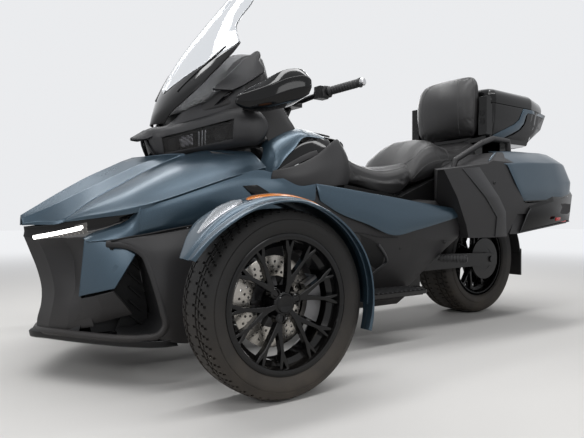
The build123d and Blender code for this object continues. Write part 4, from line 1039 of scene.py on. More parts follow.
dress(panel("nose_centre", crisp([
    [(1404, 0, 472), (1372, 50, 466), (1306, 116, 466), (1250, 178, 470)],
    [(1386, 0, 424), (1352, 56, 422), (1276, 106, 422), (1247, 170, 424)],
    [(1360, 0, 350), (1330, 66, 350), (1266, 112, 350), (1254, 166, 350)],
    [(1348, 0, 290), (1322, 76, 288), (1272, 130, 284), (1262, 172, 276)],
    [(1350, 0, 240), (1328, 72, 236), (1290, 134, 240), (1258, 182, 250)],
    [(1362, 0, 190), (1338, 66, 182), (1294, 140, 192), (1240, 206, 214)],
    [(1364, 0, 158), (1342, 64, 152), (1300, 132, 162), (1232, 214, 182)],
], (1, 2), 4), (1, 0.4, 0), along=4, across=3, wall=4, crease=0), charcoal, "nose_bumper")

# %% Lower blade, tongue and intake rim
dress(panel("nose_blades", [
    [(1268, 176, 270), (1234, 238, 284), (1198, 302, 300)],
    [(1262, 190, 232), (1216, 246, 252), (1168, 300, 266)],
    [(1296, 130, 166), (1218, 224, 194), (1136, 300, 224)],
], (1, 0.6, -0.2), along=1, wall=9, crease=3, rim=2), charcoal)
dress(plate("nose_tongues", [
    (1254, 182, 462), (1184, 264, 456), (1130, 322, 418), (1194, 306, 310), (1270, 180, 277),
], (-8, -12, 2), 4.5, both=True), body_paint, "front_cheeks")
dress(panel("nose_tongue_folds", [
    [(1254, 184, 462), (1246, 160, 462)], [(1262, 182, 370), (1256, 164, 370)],
    [(1271, 181, 278), (1268, 172, 276)],
], (1, -0.4, 0), along=3, wall=5, crease=0), body_paint)
rim_path = [
    (1204, 262, 450), (1168, 290, 447), (1136, 320, 437), (1112, 346, 414), (1100, 364, 372),
    (1086, 387, 308), (1073, 404, 240), (1068, 410, 196), (1084, 404, 172), (1130, 372, 160),
    (1186, 318, 157), (1244, 238, 157), (1304, 142, 158), (1346, 62, 156), (1366, 0, 154),
]
dress(bar("intake_rims", rim_path, 12, steps=4, sides=6, both=True), charcoal)
dress(panel("intake_ducts", [
    [(x, y - 4, z) for x, y, z in rim_path[:11]],
    [(x * 0.94 + 62, 262, 306 + (z - 306) * 0.86) for x, y, z in rim_path[:11]],
], (0, -1, 0), along=2, across=3, wall=2, crease=0), mesh_black)
dress(panel("chin_wedges", [
    [(1352, 0, 164), (1322, 84, 166), (1262, 176, 186)],
    [(1384, 0, 158), (1340, 84, 158), (1276, 186, 158)],
], (0, 0, 1), along=1, wall=3, crease=2), gloss_black)

# %% Bumper sides
dress(panel("bumper_sides", [
    [(1190, 280, 461), (1112, 328, 474), (1030, 346, 490), (936, 354, 506)],
    [(1141, 330, 444), (1098, 348, 452), (1030, 364, 462), (936, 366, 476)],
    [(1117, 357, 415), (1082, 374, 420), (1030, 385, 424), (944, 382, 432)],
    [(1105, 375, 368), (1070, 391, 368), (1030, 397, 368), (958, 390, 372)],
    [(1091, 398, 306), (1060, 406, 304), (1030, 407, 302), (972, 398, 300)],
    [(1077, 414, 239), (1052, 416, 236), (1030, 415, 232), (984, 404, 228)],
    [(1071, 418, 195), (1050, 419, 190), (1030, 418, 184), (990, 408, 178)],
    [(1088, 408, 158), (1058, 415, 148), (1030, 416, 140), (990, 408, 132)],
], (0.3, 1, 0), along=3, across=3, wall=4, crease=0), charcoal)
# A thin dark bar along each bumper side's top edge is painted shadow for the gap under the hood side.
dress(bar("bumper_gap_shadow_strips", [
    (1196, 279, 459), (1150, 302, 470), (1098, 331, 480), (1030, 349, 494), (940, 357, 509),
], 3.2, 4, 4, both=True), mesh_black)
dress(plate("intake_walls", [
    (1238, 206, 160), (1252, 176, 300), (1236, 176, 440), (1090, 214, 440), (1090, 214, 160),
], (0, -4, 0), 0, both=True), mesh_black)
dress_node("intake_grilles", mesh_black, 1)

# %% [markdown]
# ## Hood, trunk lid and day lamps
#
# The hood is one large painted surface with a sharp shoulder line. The trunk lid lies in its middle,
# and its front edge is the upper edge of the black slot. Columns of the nets follow the lines that
# the eye sees: slot edge, shoulder, lid seam, crease and ridge.

# %% Trunk lid
dress(panel("hood_lid", crisp([
    [(1412, 22, 507), (1411, 25, 513), (1412, 14, 531), (1413, 0, 541)],
    [(1372, 54, 509), (1370, 56, 520), (1372, 33, 549), (1372, 0, 568)],
    [(1304, 129, 519), (1300, 128, 530), (1300, 55, 586), (1300, 0, 615)],
    [(1252, 133, 558), (1252, 129, 565), (1252, 64, 612), (1252, 0, 645)],
    [(1205, 137, 592), (1205, 131, 599), (1205, 72, 637), (1205, 0, 673)],
    [(1116, 142, 644), (1116, 136, 651), (1116, 84, 684), (1116, 0, 718)],
    [(1010, 146, 701), (1012, 140, 708), (1032, 93, 726), (1074, 0, 739)],
    [(886, 150, 761), (889, 143, 768), (924, 104, 768), (1032, 0, 756)],
], (1, 2)), (0, 0, 1), along=5, across=3, wall=5, crease=0, rim=1.5),
      body_paint, "trunk_lid", body="trunk_lid")
dress(panel("hood_lid_flange", [
    [(886, 150, 766), (924, 104, 768), (1032, 0, 756)],
    [(882, 149, 746), (920, 103, 748), (1028, 0, 740)],
], (-1, 0, 0), along=1, wall=5, crease=0, rim=1), body_paint, body="trunk_lid")

# %% Hood sides and the lip round the slot
dress(panel("hood_tops", crisp([
    [(1302, 134, 519), (1301, 136, 523), (1299, 136, 526), (1297, 134, 529)],
    [(1262, 170, 525), (1262, 175, 534), (1260, 156, 549), (1256, 136, 561)],
    [(1205, 224, 534), (1205, 229, 546), (1205, 186, 576), (1205, 138, 597)],
    [(1118, 298, 550), (1116, 303, 569), (1116, 228, 619), (1116, 143, 649)],
    [(1023, 334, 588), (1023, 341, 598), (1023, 250, 663), (1023, 147, 702)],
    [(930, 354, 620), (930, 362, 632), (930, 262, 703), (930, 150, 747)],
    [(813, 364, 661), (813, 372, 673), (813, 268, 744), (813, 153, 782)],
    [(676, 364, 700), (676, 372, 712), (676, 274, 772), (676, 156, 802)],
], (1,)), (0, 0.4, 1), along=5, across=3, wall=3, crease=0), body_paint, "front_body")
dress(panel("hood_sides", [
    [(1112, 301, 476), (1112, 306, 520), (1111, 303, 564)],
    [(1023, 329, 493), (1023, 340, 545), (1023, 339, 592)],
    [(930, 350, 508), (930, 362, 566), (930, 361, 626)],
    [(813, 366, 522), (813, 374, 596), (813, 371, 667)],
    [(700, 384, 548), (700, 386, 628), (692, 376, 700)],
    [(620, 393, 568), (620, 398, 624), (618, 392, 674)],
    [(549, 398, 584), (549, 402, 618), (549, 401, 648)],
    [(480, 402, 596), (480, 406, 630), (480, 405, 657)],
], (0, 1, 0.2), along=5, across=2, wall=3, crease=0), body_paint)
dress(panel("hood_slot_lips", [
    [(1110, 301, 477), (1111, 307, 567), (1116, 280, 562)],
    [(1136, 292, 472), (1128, 287, 513), (1137, 264, 526)],
    [(1180, 263, 464), (1178, 247, 495), (1184, 226, 503)],
    [(1226, 224, 458), (1226, 206, 477), (1236, 182, 480)],
    [(1252, 194, 456), (1252, 188, 462), (1256, 172, 466)],
], (0.6, 1, 0.3), along=3, wall=4, crease=5), body_paint)

# %% Slot with the day lamps
dress(panel("slot_insides", [
    [(1404, 0, 503), (1402, 0, 488), (1405, 0, 470)],
    [(1364, 50, 506), (1360, 50, 486), (1372, 50, 464)],
    [(1294, 126, 518), (1288, 124, 492), (1306, 118, 466)],
    [(1238, 184, 528), (1226, 178, 500), (1250, 170, 470)],
    [(1196, 218, 533), (1182, 214, 508), (1196, 208, 492)],
    [(1120, 288, 549), (1114, 280, 540), (1130, 264, 528)],
], (1, 0.5, 0), along=3, across=2, wall=3, crease=0), gloss_black, "drl_lamps")
LAMP_LOW, LAMP_HIGH = Vector((1379, 48, 469)), Vector((1258, 172, 502))
LAMP_SAG = 6
DIODE_PITCH, DIODE_LENGTH = 0.077, 0.052
dress(bar("day_lamps", [
    LAMP_LOW.lerp(LAMP_HIGH, share) + Vector((1, 2, LAMP_SAG * share * (share - 1)))
    for share in (-0.01, 0.33, 0.67, 1.01)
], 5, steps=5, sides=4, both=True), diodes)
beads = []
for step in range(13):
    share = 0.01 + DIODE_PITCH * step
    offset = Vector((3, 4.5, -3 + LAMP_SAG * share * (share - 1)))
    ends = [LAMP_LOW.lerp(LAMP_HIGH, end) + offset for end in (share, share + DIODE_LENGTH)]
    beads.append(bar("bead", ends, 5.6, 1, 3, both=True))
dress(joined("day_lamp_beads", beads), diodes)
dress(panel("scoop_lips", [
    [(812, 196, 776), (806, 206, 770), (790, 214, 752)],
    [(740, 262, 764), (738, 268, 756), (738, 268, 742)],
    [(694, 268, 766), (690, 272, 758), (688, 272, 744)],
], (1, 0.6, 0.4), along=3, wall=4, crease=3), gloss_black)
dress(plate("side_notches", [
    (774, 380, 642), (722, 387, 647), (672, 391, 620), (742, 384, 611),
], (0, -6, 0), both=True), gloss_black)
dress_node("trunk_tub", mesh_black, 1.5)

# %% [markdown]
# ## Headlamp mask
#
# A long brow runs from the beak to the mirrors. Under it a thick frame surrounds each headlamp. The
# frame is a closed skin through measured sections, and the opening is cut by a Boolean with a prism
# that points along the lamp's own line of sight, so the bezel has an even depth all round.

# %% Brow and lamp frame
dress(panel("mask_brow", [
    [(1040, 0, 829), (1038, 8, 826), (1036, 13, 821)],
    [(1003, 6, 852), (1000, 30, 842), (992, 50, 826)],
    [(974, 38, 868), (969, 58, 860), (962, 76, 845)],
    [(928, 68, 876), (934, 82, 872), (937, 93, 862)],
    [(884, 118, 923), (882, 122, 906), (874, 132, 887)],
    [(812, 158, 968), (824, 158, 940), (822, 168, 905)],
    [(746, 212, 1006), (746, 216, 972), (724, 226, 938)],
    [(697, 252, 1026), (690, 256, 984), (652, 258, 941)],
], (0.5, 0.5, 1), along=5, across=2, wall=5, crease=0, rim=2), grey_plastic, "headlamp_mask")
dress(panel("mask_slivers", [
    [(884, 104, 915), (884, 110, 912)],
    [(806, 158, 961), (814, 166, 934)],
    [(770, 190, 984), (778, 202, 954)],
    [(730, 236, 1004), (738, 238, 998)],
], (0.5, 0.7, 0.6), along=4, wall=4, crease=0, rim=1), gloss_black)
lamp_frame = panel("mask_lamp_frame", [
    [(982, 30, 838), (984, 34, 828), (976, 34, 800), (958, 34, 766), (950, 26, 756)],
    [(976, 58, 850), (977, 64, 840), (968, 64, 802), (954, 60, 764), (946, 50, 754)],
    [(944, 92, 862), (948, 99, 848), (944, 99, 806), (936, 93, 764), (928, 83, 754)],
    [(872, 130, 888), (875, 138, 876), (871, 140, 826), (863, 130, 780), (852, 116, 766)],
    [(824, 164, 904), (825, 172, 892), (822, 174, 842), (812, 164, 794), (798, 148, 778)],
    [(724, 226, 938), (726, 233, 925), (724, 238, 868), (714, 230, 812), (702, 212, 792)],
    [(652, 256, 941), (652, 265, 928), (647, 273, 870), (640, 268, 824), (636, 252, 806)],
    [(612, 260, 910), (607, 267, 898), (602, 271, 873), (608, 268, 845), (614, 256, 828)],
    [(600, 238, 900), (595, 242, 888), (593, 244, 872), (598, 242, 850), (606, 232, 836)],
], (0.4, 1, 0), along=5, across=2, wall=7, crease=0, rim=0, both=False)
LAMP_SIGHT = Vector((0.447, 0.894, 0))
LENS_CORNERS = [
    Vector(corner) for corner in (
        (954, 93, 827), (722, 224, 899), (728, 228, 893), (731, 229, 832), (726, 225, 825), (943, 87, 769),
    )
]
LENS_MIDDLE = sum(LENS_CORNERS, Vector()) / len(LENS_CORNERS)


def lens_ring(inset, depth):
    """The lens outline, drawn in towards its middle and set back along the line of sight."""
    return [LENS_MIDDLE.lerp(corner, 1 - inset) - LAMP_SIGHT * depth for corner in LENS_CORNERS]


cutter = plate("cutter", lens_ring(0, -70), -LAMP_SIGHT * 160, 2.5)
cut = lamp_frame.modifiers.new("opening", "BOOLEAN")
cut.object = cutter
cut.solver = "EXACT"
bevelled(lamp_frame, 1.4, 50, 2)
apply_modifiers(lamp_frame)
bpy.data.objects.remove(cutter)
smooth(lamp_frame)
dress(joined("mask_lamp_frames", [lamp_frame, twin_of(lamp_frame)]), grey_plastic)

# %% [markdown]
# The lamp itself is a dark bowl behind clear glass: a faceted reflector near the middle of the
# vehicle, three upright silver blades, and a plain dark projector at the outer end.


# %% Headlamps
def lamp_point(along, up, depth):
    """A point in the lamp: share of the length from the inner end, share of the height, and depth."""
    low = Vector((943, 87, 769)).lerp(Vector((727, 226, 825)), along)
    high = Vector((954, 93, 827)).lerp(Vector((723, 225, 899)), along)
    return low.lerp(high, up) - LAMP_SIGHT * depth


bowl_rings = [lens_ring(inset, depth) for inset, depth in ((-0.02, 6), (0.04, 22), (0.14, 46), (0.8, 50))]
lamp_bowl = net("headlamp_bowls", [ring + [ring[0]] for ring in bowl_rings], 1)
aim(lamp_bowl, (0.4, 1, 0))
dress(on_both_sides(lamp_bowl), mesh_black, "headlamps", slot="lamp_lens")
dress(plate("headlamp_glass", lens_ring(-0.01, 5), -LAMP_SIGHT * 3, 0.8, both=True), smoked_lens)
lamp_facets = panel("headlamp_facets", [
    [
        lamp_point(0.22 + 0.033 * column, 0.18 + 0.13 * row, 32 - 8 * ((row + column) % 2))
        for column in range(7)
    ] for row in range(6)
], (0.4, 1, 0), along=1, wall=1, crease=0, rim=0)
lamp_facets.data.shade_flat()
dress(lamp_facets, chrome)
blades = []
for start in (0.49, 0.535, 0.58):
    corners = ((0, 0.05), (0.02, 0.05), (0.026, 0.86), (0.006, 0.86))
    outline = [lamp_point(start + side, up, 14) for side, up in corners]
    blades.append(plate("blade", outline, -LAMP_SIGHT * 22, 0.8, both=True))
dress(joined("headlamp_blades", blades), silver_trim)
dress(on_both_sides(turned("headlamp_projectors", [
    (-26, 27), (-10, 27), (-6, 25), (-6, 21), (-9, 19), (-12, 0), (-40, 0), (-40, 22),
], lamp_point(0.80, 0.45, 6), 48, LAMP_SIGHT)), gloss_black, slot="lamp_lens")
dress(plate("headlamp_shelves", [
    lamp_point(along, up, 34) for along, up in ((0.02, 0.2), (0.17, 0.14), (0.16, 0.9), (0.02, 0.8))
], -LAMP_SIGHT * 8, 1.5, both=True), grey_plastic)
dress(panel("mask_mouth", [
    [(988, 0, 826), (986, 22, 826), (980, 38, 824)], [(974, 0, 790), (973, 24, 790), (968, 38, 790)],
    [(952, 0, 744), (952, 26, 744), (950, 40, 744)],
], (1, 0, 0), along=1, wall=3, crease=0), gloss_black)
dress(panel("mask_struts", [
    [(996, 18, 830), (993, 27, 830)], [(990, 24, 806), (987, 33, 806)], [(966, 36, 762), (963, 46, 762)],
], (1, 0.2, 0), along=2, wall=8, crease=0, rim=1.5), grey_plastic)

# %% [markdown]
# ## Fairing and windscreen
#
# The windscreen is one curved sheet, described by its edge and its centre line at eight heights. Its
# lower part is black and its upper part clear; the border between them climbs towards the edges.


# %% Windscreen
SCREEN_FOOT, SCREEN_TOP = 884, 1486
SHARES = (0, 0.2, 0.4, 0.6, 0.8, 0.93, 1)
# Each row: height, x of the edge, half width, x of the centre
SCREEN_ROWS = [
    (884, 930, 62, 962), (920, 920, 92, 950), (1000, 863, 206, 912), (1069, 812, 262, 873),
    (1120, 774, 303, 842), (1152, 752, 322, 824), (1176, 742, 292, 812), (1212, 730, 256, 790),
    (1250, 714, 222, 764), (1300, 678, 203, 728), (1350, 638, 200, 690), (1400, 606, 184, 650),
    (1450, 568, 160, 612), (1486, 540, 112, 584),
]


def screen_point(height, share):
    """A point on the windscreen at a height, from its centre (0) to its edge (1)."""
    middle, edge = between(SCREEN_ROWS, height, 3), between(SCREEN_ROWS, height, 1)
    return middle + (edge - middle) * share ** 2, between(SCREEN_ROWS, height, 2) * share, height


def screen_border(share):
    """The height of the border between black and clear."""
    return 1006 + 150 * share ** 1.3


def screen_rim(share):
    """The height of the upper edge, which drops a little towards the sides."""
    return SCREEN_TOP - 10 * share ** 4


def screen_part(name, low, high, steps, wall):
    """The part of the windscreen from one height to another, which may differ over its width."""
    rows = []
    for step in range(steps + 1):
        heights = [low(share) + (high(share) - low(share)) * (step / steps) for share in SHARES]
        rows.append([screen_point(height, share) for height, share in zip(heights, SHARES)])
    return panel(name, rows, (1, 0, 0.3), along=2, across=2, wall=wall, crease=0, rim=1.2)


dress(screen_part("windscreen_shade", lambda share: SCREEN_FOOT, screen_border, 8, 5), gloss_black)
dress(screen_part("windscreen_clear", screen_border, screen_rim, 13, 4), screen_clear, "windscreen")
rib = [screen_point(1000 + 30 * step, 0.52 + 0.06 * step) for step in range(6)]
dress(bar("windscreen_ribs", rib, 4, 3, 4, both=True), gloss_black)

# %% Fairing wings, flanks and instruments
dress(plate("fairing_wings", [
    (812, 216, 1000), (760, 222, 1050), (691, 234, 1122), (650, 249, 1156), (640, 252, 1160),
    (634, 258, 1156),
    (632, 262, 1142), (640, 262, 1122), (624, 270, 1100), (620, 273, 1090), (622, 272, 1078),
    (662, 268, 1050),
    (704, 260, 1022), (740, 240, 1000),
], (-10, -12, 0), 3, both=True), grey_plastic)
dress(panel("fairing_flanks", [
    [(646, 250, 944), (622, 262, 884), (606, 268, 832), (596, 268, 800)],
    [(586, 256, 956), (560, 266, 906), (548, 274, 858), (540, 280, 820)],
    [(526, 250, 964), (508, 262, 922), (488, 276, 884), (478, 286, 850)],
    [(504, 214, 968), (486, 226, 924), (470, 244, 886), (460, 256, 852)],
], (0, 1, 0.3), along=4, across=3, wall=5, crease=0, rim=2), charcoal)
dress(loft("fairing_nacelle", [whole_ring(half) for half in (
    [(540, 0, 1100), (540, 120, 1098), (552, 190, 1080), (560, 230, 1020), (560, 236, 950), (560, 200, 905),
     (560, 0, 890)],
    [(600, 0, 1176), (600, 130, 1174), (606, 210, 1156), (610, 246, 1080), (620, 250, 960), (620, 220, 905),
     (620, 0, 890)],
    [(676, 0, 1170), (676, 126, 1166), (680, 206, 1140), (690, 238, 1070), (700, 236, 960), (700, 200, 905),
     (700, 0, 890)],
    [(790, 0, 1030), (788, 100, 1022), (784, 160, 1010), (784, 190, 985), (790, 190, 940), (790, 160, 900),
     (790, 0, 890)],
    [(880, 0, 930), (880, 60, 926), (878, 90, 920), (876, 104, 908), (876, 106, 898), (876, 80, 890),
     (880, 0, 888)],
)], angle=24), charcoal, "upper_fairing")
dress(plate("instrument_glass", [
    (562, 150, 1132), (574, 142, 1152), (586, 0, 1168), (574, -142, 1152), (562, -150, 1132),
    (546, -140, 1106),
    (544, 0, 1104), (546, 140, 1106),
], (-4, 0, 2.5), 1.5), gloss_black)
gauge_profile = [(0, 39), (4, 38), (6, 35), (4, 32), (0, 32)]
dress(joined("gauge_rims", [
    turned("gauge", gauge_profile, (553, y, 1131), 48, (-0.86, 0, 0.51), (0, 1, 0)) for y in (92, -92)
]), silver_trim, slot="cast_alloy")

# %% [markdown]
# ## Mirrors
#
# Each mirror is a long gloss-black pod on a short arm. The sections follow the pod from its pointed
# front to the glass, which sits a little inside the rear edge.

# %% Mirrors
dress(loft("mirror_pods", [
    [(772, 318, 932), (772, 328, 934), (772, 333, 946), (772, 331, 960), (772, 324, 962), (772, 318, 950)],
    [(744, 322, 919), (744, 346, 921), (744, 356, 942), (744, 352, 970), (744, 336, 982), (744, 320, 956)],
    [(690, 328, 912), (690, 386, 924), (690, 400, 952), (690, 396, 992), (690, 362, 1016), (690, 324, 986)],
    [(610, 344, 928), (610, 424, 946), (610, 446, 982), (610, 444, 1026), (610, 412, 1062), (610, 340, 1040)],
    [(556, 360, 946), (556, 440, 964), (556, 460, 996), (556, 458, 1032), (556, 428, 1064), (556, 358, 1052)],
    [(536, 376, 964), (536, 442, 976), (536, 458, 998), (536, 456, 1022), (536, 430, 1048), (536, 374, 1040)],
], along=5, crease=9, angle=16, both=True), gloss_black, "mirrors")
dress(plate("mirror_glass", [
    (535, 382, 970), (535, 438, 980), (535, 452, 999), (535, 450, 1019), (535, 428, 1042), (535, 380, 1034),
], (-1.5, 0, 0), 0.5, both=True), mirror_glass)
dress(loft("mirror_arms", [
    [(706, 250, 928), (660, 250, 930), (652, 250, 950), (664, 250, 966), (702, 250, 962)],
    [(700, 300, 926), (656, 300, 928), (648, 300, 946), (660, 300, 962), (696, 300, 958)],
    [(698, 346, 944), (654, 346, 946), (646, 346, 964), (658, 346, 978), (694, 346, 974)],
], along=3, crease=5, both=True), gloss_black)

# %% [markdown]
# ## Console, shoulder arches and vents
#
# Behind the mask the body rises to a painted arch on each side. Inside the arch sits a black window
# that hides the warm-air outlet, and below and behind it a grained knee panel runs down to the seat.

# %% Console and arches
dress(panel("painted_arches", [
    [(676, 250, 716), (674, 305, 706), (668, 350, 699), (664, 380, 688)],
    [(628, 236, 784), (636, 292, 762), (634, 336, 738), (628, 376, 712)],
    [(606, 240, 822), (610, 284, 806), (600, 330, 776), (592, 362, 744)],
    [(548, 240, 858), (552, 284, 846), (544, 330, 812), (536, 350, 790)],
    [(474, 240, 884), (480, 284, 876), (490, 322, 852), (486, 336, 836)],
    [(404, 246, 878), (408, 282, 870), (414, 316, 852), (412, 328, 842)],
    [(352, 256, 862), (356, 286, 858), (368, 312, 848), (370, 322, 842)],
], (0.2, 0.7, 1), across=3, wall=4, crease=0, rim=2), body_paint, "shoulder_arches")
dress(panel("mask_undersides", [
    [(780, 168, 777), (776, 186, 762), (756, 226, 745)], [(712, 212, 794), (712, 236, 770), (700, 262, 738)],
    [(646, 254, 802), (640, 274, 774), (660, 296, 730)], [(612, 268, 790), (612, 290, 758), (640, 312, 722)],
], (0.4, 0.6, 1), across=2, wall=4, crease=5, rim=1.5), gloss_black)
dress(panel("vent_windows", [
    [(640, 352, 704), (634, 358, 698), (626, 364, 692)],
    [(560, 346, 770), (556, 354, 748), (550, 362, 728)],
    [(470, 334, 826), (466, 346, 796), (462, 356, 766)],
    [(400, 322, 846), (394, 336, 822), (388, 350, 792)],
    [(352, 318, 840), (348, 330, 824), (344, 342, 806)],
], (0, 1, 0.4), across=2, wall=4, crease=0, rim=1.5), gloss_black, "vent_panels")
dress(panel("vent_strips", [
    [(622, 368, 692), (626, 364, 703)], [(540, 366, 728), (546, 362, 746)], [(462, 361, 762),
     (470, 356, 780)],
    [(432, 358, 774), (436, 354, 790)],
], (0, 1, 0.4), along=4, wall=4, crease=0, rim=1.2), charcoal)
dress(panel("knee_panels", [
    [(656, 386, 700), (660, 388, 690), (664, 388, 676), (668, 376, 652)],
    [(552, 374, 724), (552, 384, 702), (552, 396, 674), (552, 392, 632)],
    [(440, 358, 772), (444, 372, 738), (448, 386, 700), (452, 392, 640)],
    [(352, 338, 826), (352, 352, 778), (350, 368, 724), (350, 376, 656)],
    [(310, 318, 846), (294, 328, 800), (284, 340, 740), (292, 348, 662)],
    [(266, 286, 842), (236, 292, 790), (226, 298, 730), (236, 300, 666)],
    [(212, 240, 822), (180, 240, 774), (170, 236, 720), (176, 236, 690)],
], (0, 1, 0.2), across=3, wall=4, crease=0, rim=2), charcoal, "console")
dress(panel("console_top", [
    [(700, 0, 800), (690, 150, 806), (640, 244, 806)],
    [(603, 0, 852), (603, 150, 848), (603, 242, 826)],
    [(480, 0, 884), (480, 150, 882), (474, 242, 884)],
    [(345, 0, 876), (345, 160, 872), (350, 258, 862)],
    [(270, 0, 868), (262, 150, 862), (262, 288, 842)],
    [(206, 0, 852), (204, 120, 844), (206, 238, 820)],
    [(160, 0, 836), (158, 90, 826), (160, 160, 806)],
    [(152, 0, 800), (150, 90, 792), (152, 156, 776)],
    [(150, 0, 700), (150, 90, 690), (156, 160, 690)],
], (0, 0, 1), along=3, across=3, wall=4, crease=0, rim=2), charcoal)
cap_profile = [(-6, 60), (3, 60), (7, 56), (8, 40), (5, 36), (5, 0), (-6, 0)]
dress(turned("console_cap", cap_profile, (230, 0, 858), 64, (-0.16, 0, 1), (1, 0, 0.16)), charcoal)
dress(plate("switch_pads", [
    (300, 262, 858), (330, 272, 858), (372, 276, 862), (372, 230, 872), (318, 222, 872), (296, 236, 866),
], (1, 2, 7), 2, both=True), charcoal)

# %% [markdown]
# ## Handlebar
#
# The bar keeps its solid form and its joint. On it sit a switch housing on each side with its buttons,
# and the ribbed grips. A ribbed rubber is turned from a row of equal ribs between two plain ends.


# %% Handlebar and grips
def ribs(count, first, pitch, rib):
    """The profile of equal ribs. A rib is a row of (distance from its start, radius)."""
    return [(first + pitch * number + along, radius) for number in range(count) for along, radius in rib]


dress_node("handlebar", frame_black, 2)
GRIP_START = Vector((312, 262, 1045))
GRIP_WAY = (Vector((254, 412, 1064)) - GRIP_START).normalized()
grip_profile = [(6, 12), (6, 18.5), (10, 20), (14, 18)]
grip_profile += ribs(9, 22, 12.5, [(0, 16.2), (2, 17.4), (9, 17.4), (11, 16.2)])
grip_profile += [(140, 17), (146, 19.5), (150, 19.5), (152, 15), (152, 12)]
grip_left = turned("grip_left", grip_profile, GRIP_START, 40, GRIP_WAY)
end_profile = [(152, 0), (152, 15), (164, 15.5), (168, 13), (168, 0)]
bar_end = turned("bar_end_left", end_profile, GRIP_START, 40, GRIP_WAY)
box_section = ((-24, 0, -20), (22, 0, -24), (28, 0, 4), (16, 0, 24), (-20, 0, 26), (-32, 0, 4))
switch_box = loft("switch_box_left", [
    [GRIP_START + GRIP_WAY * along + Vector(offset) for offset in box_section] for along in (-44, -20, 2)
], along=2)
buttons = joined("switch_buttons_left", [
    turned("button", [(0, 0), (0, radius), (5, radius), (7, radius - 1.5), (7, 0)],
           GRIP_START + GRIP_WAY * along + Vector((-29, 0, height)), 24, (-1, -0.3, 0))
    for along, height, radius in ((-32, 10, 6), (-14, 12, 5), (-24, -5, 7))
])
for piece, finish in (
    (grip_left, grip_rubber), (bar_end, turned_steel), (switch_box, charcoal), (buttons, gloss_black),
):
    dress_pair(piece, finish, body="handlebar")
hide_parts("grips")

# %% [markdown]
# ## Sides and footrests
#
# The side cover is a closed form through measured sections. The painted panel lies a few millimetres
# proud of it, and a dark outlet with a bright lower lip is set in ahead of the rider's foot.

# %% Side covers
cover_sections = [
    (492, [(204, 472), (338, 472), (388, 520), (398, 600), (394, 640), (204, 640)]),
    (440, [(204, 302), (328, 308), (396, 470), (406, 600), (396, 640), (204, 640)]),
    (330, [(204, 250), (320, 254), (400, 462), (408, 596), (384, 634), (204, 634)]),
    (200, [(204, 214), (312, 218), (398, 450), (408, 590), (372, 620), (204, 622)]),
    (60, [(204, 213), (313, 216), (400, 446), (412, 584), (350, 606), (204, 608)]),
    (-90, [(204, 215), (314, 218), (402, 440), (413, 568), (330, 596), (204, 600)]),
    (-200, [(206, 280), (312, 282), (402, 434), (414, 552), (320, 600), (206, 610)]),
    (-300, [(206, 348), (314, 350), (402, 432), (415, 534), (330, 606), (206, 616)]),
    (-350, [(208, 432), (378, 434), (398, 444), (410, 530), (332, 608), (208, 608)]),
]
dress(loft("side_cover_skins", upright_rings(cover_sections), crease=12, angle=16, both=True),
      charcoal, "side_covers")
dress(panel("painted_sides", [
    [(479, 404, 659), (472, 410, 628), (462, 408, 594)],
    [(380, 409, 649), (380, 417, 606), (384, 414, 552)],
    [(230, 416, 631), (230, 426, 572), (234, 420, 504)],
    [(97, 419, 616), (97, 430, 546), (92, 424, 458)],
    [(-40, 420, 600), (-40, 431, 548), (-44, 425, 478)],
    [(-180, 420, 584), (-180, 430, 552), (-186, 426, 506)],
    [(-300, 419, 569), (-306, 426, 554), (-300, 425, 531)],
    [(-330, 418, 561), (-338, 422, 550), (-332, 422, 540)],
], (0, 1, 0.1), along=5, across=3, wall=6, crease=0, rim=3), body_paint, "side_panels")
dress(panel("side_outlets", [
    [(340, 398, 500), (330, 374, 430), (316, 350, 380)], [(250, 402, 462), (240, 376, 396), (230, 346, 340)],
    [(166, 406, 424), (156, 384, 376), (150, 346, 318)], [(122, 396, 372), (112, 378, 346), (120, 336, 298)],
], (0.1, 1, -0.2), along=3, across=2, wall=3, crease=0), mesh_black, slot="grille_mesh")
dress(bar("side_outlet_lips", [
    (168, 409, 424), (140, 406, 396), (106, 392, 362), (96, 382, 350), (116, 358, 322), (156, 326, 282),
    (200, 316, 262),
], 6, 5, 5, both=True), grey_plastic)
dress(bar("side_shut_lines", [
    (352, 402, 474), (254, 407, 470), (160, 410, 452), (60, 410, 448),
], 1.6, 4, 3, both=True), gloss_black)

# %% Footboards, pegs and screws
dress(joined("board_ribs", [
    plate("rib", [
        (x, 316, 228), (x + 12, 316, 228), (x + 12, 446, 228), (x, 446, 228),
    ], (0, 0, 4), 1.2, both=True) for x in range(-66, 236, 26)
]), grip_rubber)
PEG_START = Vector((-262, 300, 346))
PEG_WAY = (Vector((-352, 440, 343)) - PEG_START).normalized()
peg_ribs = ribs(8, 50, 14, [(0, 16), (2, 19), (9, 19), (11, 16)])
peg_profile = [(46, 8), (46, 17)] + peg_ribs + [(163, 17), (163, 8)]
dress(on_both_sides(turned("peg_rubbers", peg_profile, PEG_START, 32, PEG_WAY)), grip_rubber)
screw_profile = [(0, 0), (0, 8), (2.5, 8), (4, 6.5), (4, 3.6), (1.4, 3.6), (1.4, 0)]
dress(on_both_sides(joined("cover_screws", [
    turned("screw", screw_profile, place, 24, way) for place, way in (
        ((-240, 404.5, 420), (0, 1, -0.3)), ((20, 383, 402), (0, 1, -0.4)), ((-120, 384, 402), (0, 1, -0.4)),
        ((-500, 473.5, 690), (0, 1, 0)),
    )
])), frame_black)
dress_node("footrests", frame_black, 1.5)
dress_node("seat_base", vinyl_side, 4)

# %% [markdown]
# ## Seats and backrest
#
# Upholstery looks right when it behaves like foam under a stretched cover. Each pad starts as a closed
# form through its sections, a little smaller than the real pad. It is remeshed evenly and inflated for
# a moment as cloth with its base held, and no point may move more than a set distance. The seams come
# last: each is a line of thread laid on the finished surface.


# %% Padding by a short cloth simulation
VOXEL, PRESSURE, CLOTH_STEPS = 6, 4, 20


